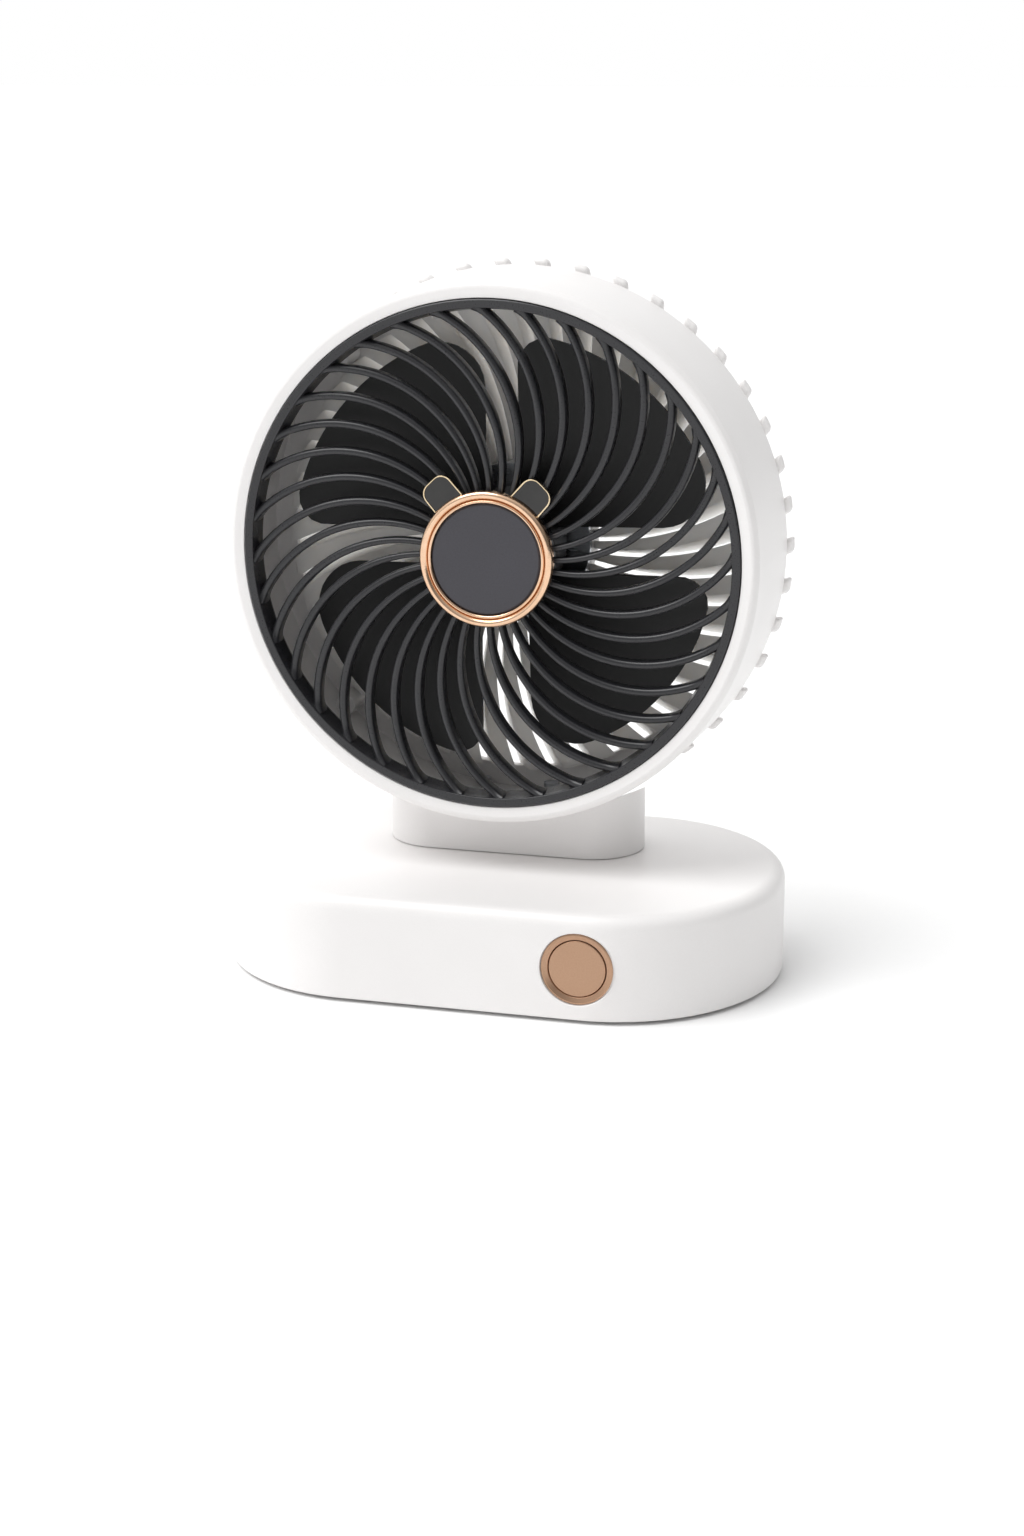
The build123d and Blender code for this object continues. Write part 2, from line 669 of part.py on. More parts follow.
trim_front = boss_front - 2.9
with BuildPart() as trim_ring:
    bead_outline = [
        (cap_radius + 0.15, boss_front),
        (cap_radius + 0.15, trim_front + 1.3),
        (cap_radius + 0.7, trim_front + 0.7),
        (cap_radius + 1.3, trim_front + 0.9),
        (cap_radius + 1.6, trim_front + 0.3),
        (cap_radius + 2.4, trim_front),
        (trim_radius - 1.0, trim_front + 0.2),
        (trim_radius - 0.3, trim_front + 0.9),
        (trim_radius, trim_front + 1.9),
        (trim_radius, boss_front),
    ]
    turned(bead_outline)
finish(trim_ring, "trim_ring")

cap_front_depth = trim_front + 1.0
with BuildPart() as hub_cap:
    cap_outline = [
        (0, cap_front_depth),
        (cap_radius - 0.6, cap_front_depth),
        (cap_radius, cap_front_depth + 0.6),
        (cap_radius, boss_front),
        (0, boss_front),
    ]
    turned(cap_outline)
finish(hub_cap, "hub_cap")

tab_front = -22.5
tab_back = rib_front - 0.1
tab_edge = 0.5  # width of the thin rim
tab_fit = 0.03


def tab_outline(side, inset):
    """A rounded lobe that stands out of the trim ring on one side, moved in by inset."""
    corners = []
    for angle, radius in tab_corners:
        corners.append((side * radius * sin(radians(angle)), radius * cos(radians(angle))))
    with BuildSketch(head_plane(tab_back)) as outline:
        with BuildLine():
            Polyline(*corners, close=True)
        make_face()
        fillet(outline.vertices().sort_by_distance((0, 0, 0))[-2:], tab_rounding)
        if inset:
            offset(amount=-inset)
        Circle(trim_radius + 0.05, mode=Mode.SUBTRACT)
    return outline.sketch


with BuildPart() as tab_frames:
    for side in (-1, 1):
        extrude(tab_outline(side, 0), amount=tab_back - tab_front)
    for side in (-1, 1):
        extrude(tab_outline(side, tab_edge), amount=tab_back - tab_front, mode=Mode.SUBTRACT)
finish(tab_frames, "tab_frames")

with BuildPart() as tab_inlays:
    for side in (-1, 1):
        extrude(tab_outline(side, tab_edge + tab_fit), amount=tab_back - tab_front - 0.4)
finish(tab_inlays, "tab_inlays")

# ================================================================ fan and motor
hub_front = -8.5
hub_back = 9.0
nut_seat = -5.5
with BuildPart() as motor_mount:
    head_ring(12.0, 14.5, hub_cup_radius, 5.1)
    for angle in motor_screw_angles:
        x = motor_screw_radius * sin(radians(angle))
        z = axis_height + motor_screw_radius * cos(radians(angle))
        round_bar(front_plane(15, x, z), 1.3, 5, Mode.SUBTRACT)
finish(motor_mount, "motor_mount")

with BuildPart() as motor_screws:
    for angle in motor_screw_angles:
        x = motor_screw_radius * sin(radians(angle))
        z = axis_height + motor_screw_radius * cos(radians(angle))
        round_bar(front_plane(11.9, x, z), 2.1, 1.3)
        round_bar(front_plane(22.0, x, z), 0.95, 10.2)
finish(motor_screws, "motor_screws")

with BuildPart() as bearing_tube:
    tube_outline = [
        (3.55, -2.0),
        (5.0, -2.0),
        (5.0, 11.9),
        (9.0, 11.9),
        (9.0, 10.9),
        (10.0, 10.9),
        (10.0, 11.95),
        (5.0, 11.95),
        (5.0, 16.5),
        (3.55, 16.5),
    ]
    turned(tube_outline)
finish(bearing_tube, "bearing_tube")

with BuildPart() as ball_bearings:
    for front in (-1.9, 12.0):
        head_ring(front, front + 2.5, 3.5, shaft_radius + running_gap)
finish(ball_bearings, "ball_bearings")

with BuildPart() as stator_core:
    head_ring(-0.5, 6.5, 7.5, 5.05)
    with BuildSketch(head_plane(5.5)):
        with PolarLocations(0, 9):
            with Locations((9.5, 0)):
                Rectangle(6.5, 2.2)
    extrude(amount=5.0)
    with BuildSketch(head_plane(5.5)):
        with PolarLocations(0, 9):
            with Locations((13.2, 0)):
                Rectangle(1.6, 7.4)
    extrude(amount=5.0)
finish(stator_core, "stator_core")

with BuildPart() as stator_coils:
    with BuildSketch(head_plane(6.1)):
        with PolarLocations(0, 9):
            with Locations((10.0, 0)):
                Rectangle(3.6, 3.8)
                Rectangle(3.8, 2.3, mode=Mode.SUBTRACT)
    extrude(amount=6.2)
finish(stator_coils, "stator_coils")

with BuildPart() as motor_board:
    head_ring(10.2, 10.9, 16.0, 10.1)
finish(motor_board, "motor_board")

with BuildPart() as motor_shaft:
    round_bar(front_plane(15.5, 0, axis_height), shaft_radius, 15.5 + 8.2)
finish(motor_shaft, "motor_shaft")

with BuildPart() as rotor_cup:
    rotor_outline = [
        (shaft_radius, -3.4),
        (17.4, -3.4),
        (17.4, hub_back),
        (16.4, hub_back),
        (16.4, -2.5),
        (shaft_radius, -2.5),
    ]
    turned(rotor_outline)
finish(rotor_cup, "rotor_cup")

with BuildPart() as rotor_magnet:
    head_ring(-1.5, hub_back - 0.5, 16.35, 14.8)
finish(rotor_magnet, "rotor_magnet")

blade_lean = 6.6  # half of the blade's depth, front edge to back edge
blade_root = 16.0
blade_half_angle = 38.0  # half of what the untrimmed blade spans


def blade_section(angle, distance):
    """A thin slanted slot across a blade, square to the blade's middle line, at a distance from the axis."""
    half_chord = distance * tan(radians(blade_half_angle))
    outward = Vector(sin(radians(angle)), 0, cos(radians(angle)))
    around = Vector(cos(radians(angle)), 0, -sin(radians(angle)))
    chord_direction = (around * half_chord + Vector(0, 1, 0) * blade_lean).normalized()
    middle = Vector(0, 0.25, axis_height) + outward * distance
    with BuildSketch(Plane(origin=middle, x_dir=chord_direction, z_dir=outward)) as section:
        SlotOverall(2 * half_chord, blade_thickness)
    return section.sketch


def blade_plan(angle):
    """A blade's outline from the front: side edges in line with its neighbours', and round tip corners."""
    half_pitch = radians(180 / blade_count)
    edge_shift = blade_gap / 2
    reach = sqrt(blade_tip**2 - edge_shift**2)
    corners = []
    for side in (-1, 1):
        along = Vector(side * sin(half_pitch), cos(half_pitch))
        inward = Vector(-side * cos(half_pitch), sin(half_pitch))
        corners.append(along * blade_root + inward * edge_shift)
        corners.append(along * reach + inward * edge_shift)
    with BuildSketch(head_plane(-12)) as plan:
        with BuildLine():
            Line(corners[0], corners[1])
            ThreePointArc(corners[1], (0, blade_tip), corners[3])
            Line(corners[3], corners[2])
            Line(corners[2], corners[0])
        make_face()
        fillet(plan.vertices().sort_by(Axis.X)[0], blade_leading_corner)
        fillet(plan.vertices().sort_by(Axis.X)[-1], blade_trailing_corner)
    return plan.sketch.rotate(fan_axis, angle)


blades = []
for index in range(blade_count):
    angle = blade_first_angle + index * 360 / blade_count
    with BuildPart() as blade:
        loft([blade_section(angle, distance) for distance in (blade_root, 40.0, 76.0)])
        extrude(blade_plan(angle), amount=-24, mode=Mode.INTERSECT)
    blades.append(blade.part)

with BuildPart() as fan_blades:
    add(blades)
    hub_outline = [
        (0, hub_front + 0.7),
        (fan_hub_radius - 0.8, hub_front),
        (fan_hub_radius, hub_front + 0.8),
        (fan_hub_radius, hub_back),
        (0, hub_back),
    ]
    turned(hub_outline)
    head_ring(-3.45, hub_back + 1, 17.45, 0, Mode.SUBTRACT)
    head_ring(-20, nut_seat, 5.2, 0, Mode.SUBTRACT)
    head_ring(-20, 5, shaft_radius + 0.005, 0, Mode.SUBTRACT)
finish(fan_blades, "fan_blades")

with BuildPart() as spinner_nut:
    with BuildSketch(head_plane(nut_seat - 0.05)):
        RegularPolygon(4.4, 6)
        Circle(shaft_radius + 0.01, mode=Mode.SUBTRACT)
    extrude(amount=2.2)
finish(spinner_nut, "spinner_nut")
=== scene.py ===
"""The finished look of a round desk fan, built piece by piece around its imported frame.

Sizes are millimetres until a mesh is made. X is the fan's right, the front faces -Y and Z is up. Depths are
Y values, so a smaller depth is nearer the front. Angles about the fan's axis run clockwise from the top,
as seen from the front, unless a comment says otherwise.
"""

import logging
from dataclasses import dataclass
from enum import Enum
from math import atan2, cos, hypot, pi, radians, sin, tan
from typing import Any, Iterable, Sequence

import bmesh
import bpy
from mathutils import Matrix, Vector


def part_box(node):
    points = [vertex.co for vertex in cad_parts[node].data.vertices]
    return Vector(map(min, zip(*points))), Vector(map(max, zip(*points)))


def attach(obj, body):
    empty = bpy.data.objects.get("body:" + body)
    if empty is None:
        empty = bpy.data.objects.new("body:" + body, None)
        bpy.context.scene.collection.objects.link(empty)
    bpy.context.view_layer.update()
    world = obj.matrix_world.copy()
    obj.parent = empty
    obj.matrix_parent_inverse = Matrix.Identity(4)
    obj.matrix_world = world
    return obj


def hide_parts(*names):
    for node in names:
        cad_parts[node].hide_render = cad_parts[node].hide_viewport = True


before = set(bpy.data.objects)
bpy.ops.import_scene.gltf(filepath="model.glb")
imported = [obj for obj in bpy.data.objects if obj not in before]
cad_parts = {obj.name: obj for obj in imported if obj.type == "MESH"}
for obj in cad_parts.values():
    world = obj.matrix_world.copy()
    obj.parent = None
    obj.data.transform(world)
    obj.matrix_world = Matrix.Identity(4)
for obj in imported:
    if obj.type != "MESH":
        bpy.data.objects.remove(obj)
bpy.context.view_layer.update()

log = logging.getLogger("desk_fan")
Point = tuple[float, float]
MM = 0.001


# ------------------------------------------------------------------ small helpers
def linear(colour: str) -> tuple[float, float, float, float]:
    """Turn an sRGB hex colour into linear RGBA.

    Args:
        colour: six hex digits after a hash sign.

    Returns:
        Linear red, green, blue and an alpha of one.
    """
    channels = [int(colour[start:start + 2], 16) / 255 for start in (1, 3, 5)]
    light = [c / 12.92 if c <= 0.04045 else ((c + 0.055) / 1.055) ** 2.4 for c in channels]
    return (light[0], light[1], light[2], 1.0)


def put(tree: bpy.types.NodeTree, kind: str, inputs: dict[Any, Any] | None = None, **settings: Any) -> Any:
    """Add a node, with its settings, and set or link its inputs.

    Args:
        tree: the node tree to add to.
        kind: the node's type.
        inputs: socket name or number, with a value to set or an output socket to link from.
        settings: properties of the node.

    Returns:
        The new node.
    """
    node = tree.nodes.new(kind)
    for name, value in settings.items():
        setattr(node, name, value)
    for key, value in (inputs or {}).items():
        if isinstance(value, bpy.types.NodeSocket):
            tree.links.new(value, node.inputs[key])
        else:
            node.inputs[key].default_value = value
    return node


def polar(radius: float, angle: float) -> Point:
    """X and Z of a point about the fan's axis, at a clockwise angle in degrees from the top."""
    return (radius * sin(radians(angle)), radius * cos(radians(angle)))


def arc(centre: Point, size: Point, start: float, end: float, steps: int) -> list[Point]:
    """Points along an elliptic arc, from one angle to another in degrees."""
    turns = [radians(start + (end - start) * step / steps) for step in range(steps + 1)]
    return [(centre[0] + size[0] * cos(turn), centre[1] + size[1] * sin(turn)) for turn in turns]


def rounded(corners: Sequence[Point], sizes: float | Sequence[float], steps: int = 5) -> list[Point]:
    """Round the corners of a closed outline.

    Args:
        corners: the outline's corners.
        sizes: one radius for all corners, or one for each.
        steps: how many pieces each rounding is cut into.

    Returns:
        The outline with an arc in place of each corner.
    """
    radii = [sizes] * len(corners) if isinstance(sizes, (int, float)) else list(sizes)
    outline: list[Point] = []
    for index, (corner, radius) in enumerate(zip(corners, radii)):
        here = Vector(corner)
        back = Vector(corners[index - 1]) - here
        ahead = Vector(corners[(index + 1) % len(corners)]) - here
        half = back.angle(ahead) / 2
        if radius <= 0 or half > pi / 2 - 0.01:
            outline.append(corner)
            continue
        reach = min(radius / tan(half), 0.48 * back.length, 0.48 * ahead.length)
        first = here + back.normalized() * reach
        last = here + ahead.normalized() * reach
        middle = here + (back.normalized() + ahead.normalized()).normalized() * reach / cos(half)
        spin_from = atan2(first.y - middle.y, first.x - middle.x)
        spin_to = atan2(last.y - middle.y, last.x - middle.x)
        turn = (spin_to - spin_from + pi) % (2 * pi) - pi
        size = reach * tan(half)
        for step in range(steps + 1):
            spin = spin_from + turn * step / steps
            outline.append((middle.x + size * cos(spin), middle.y + size * sin(spin)))
    return outline


@dataclass(frozen=True)
class Span:
    """The box of a CAD node, in millimetres."""

    low: Vector
    high: Vector

    @classmethod
    def of(cls, node: str) -> "Span":
        """Read the box of a node from the frame."""
        low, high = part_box(node)
        return cls(Vector(low) / MM, Vector(high) / MM)

    @property
    def middle(self) -> Vector:
        """The middle of the box."""
        return (self.low + self.high) / 2

    @property
    def radius(self) -> float:
        """Half the box's width."""
        return (self.high.x - self.low.x) / 2


AXIS_HEIGHT = Span.of("trim_ring").middle.z


# ------------------------------------------------------------------ making pieces
def placed_object(name: str, data: Any) -> bpy.types.Object:
    """Add an object that shows the given mesh, light or camera to the scene."""
    made = bpy.data.objects.new(name, data)
    bpy.context.scene.collection.objects.link(made)
    return made


def solid(name: str, points: Iterable[Sequence[float]], faces: Iterable[Sequence[int]]) -> bpy.types.Object:
    """Make an object from points in millimetres, with doubles merged and faces turned outwards."""
    mesh = bpy.data.meshes.new(name)
    mesh.from_pydata([Vector(point) * MM for point in points], [], [list(face) for face in faces])
    piece = placed_object(name, mesh)
    tidy(piece)
    return piece


def tidy(piece: bpy.types.Object) -> None:
    """Merge a piece's doubles, turn its faces outwards and shade it smooth."""
    shape = bmesh.new()
    shape.from_mesh(piece.data)
    bmesh.ops.remove_doubles(shape, verts=shape.verts, dist=0.002 * MM)
    bmesh.ops.recalc_face_normals(shape, faces=shape.faces)
    shape.to_mesh(piece.data)
    shape.free()
    piece.data.shade_smooth()


def lathe(name: str, outline: Sequence[Point], segments: int = 240,
          centre: Point | None = None) -> bpy.types.Object:
    """Turn a closed outline of (radius, depth) points about an axis that runs front to back.

    Args:
        name: the piece's name.
        outline: the closed outline, whose points at radius zero become poles.
        segments: how many steps a full turn takes.
        centre: X and Z of the axis; the fan's own axis if none is given.

    Returns:
        The new piece.
    """
    x, z = centre or (0.0, AXIS_HEIGHT)
    points = []
    for index in range(segments):
        across, up = polar(1.0, index * 360 / segments)
        points += [(x + radius * across, depth, z + radius * up) for radius, depth in outline]
    count = len(outline)
    faces = []
    for index in range(segments):
        here = index * count
        there = (index + 1) % segments * count
        for step in range(count):
            after = (step + 1) % count
            if outline[step][0] == 0 and outline[after][0] == 0:
                continue
            corners = [here + step, here + after, there + after, there + step]
            if outline[after][0] == 0:
                corners.remove(there + after)
            if outline[step][0] == 0:
                corners.remove(there + step)
            faces.append(corners)
    return solid(name, points, faces)


def plate(name: str, outline: Sequence[Point], front: float, back: float) -> bpy.types.Object:
    """Make a flat plate across the fan's axis from an outline of (x, height over the axis) points."""
    count = len(outline)
    points = [(x, depth, AXIS_HEIGHT + up) for depth in (front, back) for x, up in outline]
    faces = [list(range(count)), [count + index for index in range(count)]]
    for index in range(count):
        after = (index + 1) % count
        faces.append([index, after, count + after, count + index])
    return solid(name, points, faces)


def settle(piece: bpy.types.Object) -> None:
    """Turn what a piece's modifiers make into its plain mesh, and remove them."""
    ready = piece.evaluated_get(bpy.context.evaluated_depsgraph_get())
    made = bpy.data.meshes.new_from_object(ready)
    made.name = piece.name
    piece.modifiers.clear()
    old = piece.data
    piece.data = made
    bpy.data.meshes.remove(old)


def soften(piece: bpy.types.Object, width: float, segments: int = 3, angle: float = 40.0) -> None:
    """Round a piece's edges that are sharper than an angle, by a width in millimetres."""
    bevel = piece.modifiers.new("edges", "BEVEL")
    bevel.width = width * MM
    bevel.segments = segments
    bevel.limit_method = "ANGLE"
    bevel.angle_limit = radians(angle)
    settle(piece)


def even_shading(piece: bpy.types.Object, sharp: float = 60.0) -> None:
    """Let flat faces shade flat beside small roundings, with creases only at edges sharper than an angle."""
    piece.data.shade_smooth()
    piece.data.set_sharp_from_angle(angle=radians(sharp))
    weight = piece.modifiers.new("shading", "WEIGHTED_NORMAL")
    weight.keep_sharp = True
    settle(piece)


def carve(piece: bpy.types.Object, tool: bpy.types.Object) -> None:
    """Cut a tool's shape out of a piece, and remove the tool."""
    cut = piece.modifiers.new("cut", "BOOLEAN")
    cut.operation = "DIFFERENCE"
    cut.solver = "EXACT"
    cut.object = tool
    settle(piece)
    bpy.data.objects.remove(tool)


def joined(name: str, pieces: Sequence[bpy.types.Object]) -> bpy.types.Object:
    """Join pieces into one, under a new name."""
    shape = bmesh.new()
    for piece in pieces:
        shape.from_mesh(piece.data)
        bpy.data.objects.remove(piece)
    mesh = bpy.data.meshes.new(name)
    shape.to_mesh(mesh)
    shape.free()
    return placed_object(name, mesh)


# ------------------------------------------------------------------ finishes
class Texture(Enum):
    """How a surface was made, which sets its fine pattern."""

    SPARK_ERODED = "moulded against a spark-eroded tool"
    PLATED = "plated or lacquered, with a faint orange peel"
    BRUSHED = "brushed or rolled along X"
    TURNED = "turned about the fan's axis"
    STACKED = "stacked sheets along the fan's axis"
    WOUND = "wire wound round radial teeth"
    SHRUNK = "shrunk sleeve with faint creases round it"
    TRACKED = "copper tracks under solder mask"


@dataclass(frozen=True)
class Finish:
    """A real material and its surface, ready to become a node material.

    colour and shade are the two sRGB colours that the pattern moves between. roughness has a spread each
    way. grain is the pattern's real size and relief its height. drift is the size of the slow change in
    tone over the piece. glow_depth is how far light passes through the material, in millimetres.
    """

    name: str
    colour: str
    shade: str
    roughness: float
    spread: float = 0.04
    texture: Texture = Texture.SPARK_ERODED
    grain: float = 0.7
    relief: float = 0.006
    drift: float = 28.0
    metallic: float = 0.0
    ior: float = 1.5
    glow_depth: float = 0.0

    def pattern(self, tree: bpy.types.NodeTree, place: Any) -> Any:
        """Add the nodes of the surface's fine pattern.

        Args:
            tree: the material's node tree.
            place: the socket that gives the point on the piece, in metres.

        Returns:
            A socket from zero in the hollows to one on the peaks.
        """
        per_metre = 1 / (self.grain * MM)
        about_axis = put(tree, "ShaderNodeMapping", {"Vector": place, "Location": (0, 0, -AXIS_HEIGHT * MM)})
        split = put(tree, "ShaderNodeSeparateXYZ", {"Vector": about_axis.outputs[0]})
        across = put(tree, "ShaderNodeCombineXYZ", {"X": split.outputs["X"], "Z": split.outputs["Z"]})
        radius = put(tree, "ShaderNodeVectorMath", {0: across.outputs[0]}, operation="LENGTH")
        if self.texture in (Texture.TURNED, Texture.WOUND):
            rings = put(tree, "ShaderNodeCombineXYZ", {"X": radius.outputs["Value"]})
            if self.texture is Texture.TURNED:
                lines = put(tree, "ShaderNodeTexNoise",
                            {"Vector": rings.outputs[0], "Scale": per_metre, "Detail": 3.0})
                return lines.outputs["Fac"]
            turns = put(tree, "ShaderNodeTexWave",
                        {"Vector": rings.outputs[0], "Scale": per_metre / 3.2, "Distortion": 0.4})
            return turns.outputs["Fac"]
        if self.texture is Texture.STACKED:
            sheets = put(tree, "ShaderNodeTexWave", {"Vector": place, "Scale": per_metre / 3.2},
                         bands_direction="Y")
            return sheets.outputs["Fac"]
        if self.texture is Texture.TRACKED:
            tracks = put(tree, "ShaderNodeTexVoronoi", {"Vector": place, "Scale": per_metre},
                         distance="CHEBYCHEV")
            edge = put(tree, "ShaderNodeMapRange", {"Value": tracks.outputs["Distance"], "From Min": 0.42,
                                                    "From Max": 0.46})
            return edge.outputs["Result"]
        stretch = {Texture.BRUSHED: (0.04, 1.0, 1.0), Texture.SHRUNK: (1.0, 0.2, 0.2)}
        shaped = put(tree, "ShaderNodeMapping",
                     {"Vector": place, "Scale": stretch.get(self.texture, (1.0, 1.0, 1.0))})
        noise = put(tree, "ShaderNodeTexNoise",
                    {"Vector": shaped.outputs[0], "Scale": per_metre, "Detail": 2.0, "Roughness": 0.6})
        return noise.outputs["Fac"]

    def material(self) -> bpy.types.Material:
        """Make the node material.

        Returns:
            The material, with its pattern in colour, roughness and relief.
        """
        made = bpy.data.materials.new(self.name)
        made.use_nodes = True
        tree = made.node_tree
        shader = tree.nodes["Principled BSDF"]
        place = put(tree, "ShaderNodeTexCoord").outputs["Object"]
        pattern = self.pattern(tree, place)
        slow = put(tree, "ShaderNodeTexNoise",
                   {"Vector": place, "Scale": 1 / (self.drift * MM), "Detail": 1.0})
        tone = put(tree, "ShaderNodeMath", {0: slow.outputs["Fac"], 1: pattern}, operation="MULTIPLY")
        spread_out = put(tree, "ShaderNodeMapRange",
                         {"Value": tone.outputs[0], "From Min": 0.08, "From Max": 0.45})
        colour = put(tree, "ShaderNodeMix", {"Factor": spread_out.outputs["Result"], 6: linear(self.shade),
                                             7: linear(self.colour)}, data_type="RGBA")
        rough = put(tree, "ShaderNodeMapRange",
                    {"Value": pattern, "From Min": 0.25, "From Max": 0.75,
                     "To Min": self.roughness + self.spread, "To Max": self.roughness - self.spread})
        relief = put(tree, "ShaderNodeBump",
                     {"Height": pattern, "Strength": 0.5, "Distance": self.relief * MM})
        tree.links.new(colour.outputs[2], shader.inputs["Base Color"])
        tree.links.new(rough.outputs["Result"], shader.inputs["Roughness"])
        tree.links.new(relief.outputs["Normal"], shader.inputs["Normal"])
        shader.inputs["Metallic"].default_value = self.metallic
        shader.inputs["IOR"].default_value = self.ior
        if self.glow_depth:
            shader.inputs["Subsurface Weight"].default_value = 1.0
            shader.inputs["Subsurface Radius"].default_value = (1.0, 0.96, 0.9)
            shader.inputs["Subsurface Scale"].default_value = self.glow_depth * MM
        return made


METAL = {"metallic": 1.0}

# Satin white ABS: soft broad highlights along the edges, and a grain that only just breaks them up. The grain
# of such tools is about 0.1 mm, drawn coarser here so that it shows.
WHITE_ABS = Finish("satin_white_abs", "#f7f5f4", "#f3f1f0", 0.38, 0.05, grain=0.5, relief=0.004, ior=1.53)
# The same ABS in the thin vanes of the back, where daylight from behind shines through it a little.
THIN_WHITE_ABS = Finish("thin_white_abs", "#f7f5f2", "#f3f1ee", 0.42, 0.05, grain=0.5, relief=0.004,
                        ior=1.53, glow_depth=9.0)
# Satin charcoal ABS: a grey sheen along the rounded tops of the ribs.
CHARCOAL_ABS = Finish("satin_charcoal_abs", "#28282b", "#222225", 0.30, 0.05, grain=0.5, relief=0.006,
                      ior=1.53)
# Black ABS of the blades: nearly black, with a dull shine at a low angle.
BLACK_ABS = Finish("black_blade_abs", "#08080a", "#050506", 0.46, 0.05, grain=0.6, relief=0.005, ior=1.53)
# Soft-touch paint on the hub cap: even and matte, with hardly any highlight.
SOFT_GREY = Finish("soft_touch_grey", "#46454b", "#414045", 0.60, 0.05, grain=0.6, relief=0.010, ior=1.47)
# Polished plating in rose gold: near-white highlights beside warm brown ones.
ROSE_POLISHED = Finish("rose_gold_plating", "#f0cdb0", "#e6bf9e", 0.20, 0.03, Texture.PLATED, grain=3.0,
                       relief=0.004, **METAL)
# Fine blasted rose gold: an even, quiet bronze tone.
ROSE_SATIN = Finish("blasted_rose_gold", "#bf9c82", "#b69278", 0.38, 0.05, grain=0.5, relief=0.008, **METAL)
# Pale gold wire edge of the lobes: a thin bright line.
PALE_GOLD = Finish("pale_gold_edge", "#ecd9b8", "#dcc59f", 0.16, 0.03, Texture.PLATED, grain=2.0,
                   relief=0.002, **METAL)
# Smoked polycarbonate: dark, glossy and a little brown.
SMOKED = Finish("smoked_polycarbonate", "#1b1917", "#0b0a09", 0.16, 0.05, Texture.PLATED, grain=3.0,
                relief=0.03, ior=1.585)
# Moulded rubber: matt, with a coarse grain.
RUBBER = Finish("moulded_rubber", "#2b2b2c", "#202021", 0.82, 0.06, grain=0.7, relief=0.03, ior=1.52)
# Zinc-plated steel: grey, faintly brushed.
ZINC_STEEL = Finish("zinc_plated_steel", "#b9bcc0", "#9ea2a8", 0.30, 0.06, Texture.BRUSHED, grain=0.5,
                    relief=0.004, **METAL)
# Turned steel: fine rings about the fan's axis.
TURNED_STEEL = Finish("turned_steel", "#c4c6ca", "#a5a8ae", 0.24, 0.06, Texture.TURNED, grain=0.3,
                      relief=0.004, **METAL)
# Varnished motor laminations: dark sheets 0.5 mm thick.
LAMINATIONS = Finish("varnished_laminations", "#4a4a4e", "#2c2c30", 0.45, 0.08, Texture.STACKED, grain=0.5,
                     relief=0.03, **METAL)
# Enamelled copper wire, 0.35 mm.
ENAMELLED_COPPER = Finish("enamelled_copper", "#c4703c", "#7d3f1f", 0.28, 0.08, Texture.WOUND, grain=0.35,
                          relief=0.06, **METAL)
# Turned brass.
TURNED_BRASS = Finish("turned_brass", "#c9a45c", "#a98545", 0.25, 0.06, Texture.TURNED, grain=0.3,
                      relief=0.004, **METAL)
# Blue heat-shrink sleeve of the cells: glossy, with creases round it.
BLUE_SLEEVE = Finish("blue_shrink_sleeve", "#2a6fa8", "#1f5f96", 0.26, 0.06, Texture.SHRUNK, grain=2.5,
                     relief=0.03, ior=1.54)
# Natural nylon of the inner parts.
NATURAL_NYLON = Finish("natural_nylon", "#dcdad2", "#cfccc2", 0.5, 0.06, grain=0.7, relief=0.01, ior=1.53)
# Black acetal of the small switch.
BLACK_ACETAL = Finish("black_acetal", "#232325", "#19191b", 0.35, 0.05, grain=0.6, relief=0.006, ior=1.48)
# Circuit board: green solder mask over tracks.
GREEN_BOARD = Finish("green_solder_mask", "#1d6b3b", "#114a28", 0.32, 0.06, Texture.TRACKED, grain=2.2,
                     relief=0.03, ior=1.52)


class Wardrobe:
    """Makes each finish's material once, and puts it on pieces and on CAD nodes."""

    def __init__(self) -> None:
        """Start with no materials made."""
        self.made: dict[str, bpy.types.Material] = {}

    def material(self, finish: Finish) -> bpy.types.Material:
        """The finish's material, made on its first use."""
        if finish.name not in self.made:
            self.made[finish.name] = finish.material()
        return self.made[finish.name]

    def dress(self, piece: bpy.types.Object, finish: Finish, slot: str, body: str, *nodes: str) -> None:
        """Give a piece its finish, let it ride on a body, and let it stand for CAD nodes.

        Args:
            piece: the finished piece.
            finish: its finish.
            slot: a material slot name; not used.
            body: the CAD body that it moves with.
            nodes: the CAD nodes that it replaces.
        """
        piece.data.materials.clear()
        piece.data.materials.append(self.material(finish))
        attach(piece, body)
        if nodes:
            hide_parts(*nodes)
        log.info("%s: %d faces, %s, on %s", piece.name, len(piece.data.polygons), finish.name, body)

    def repaint(self, finish: Finish, *nodes: str) -> None:
        """Give CAD nodes that stay a finish."""
        for node in nodes:
            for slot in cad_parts[node].material_slots:
                slot.material = self.material(finish)
            log.info("%s: kept from the frame, %s", node, finish.name)


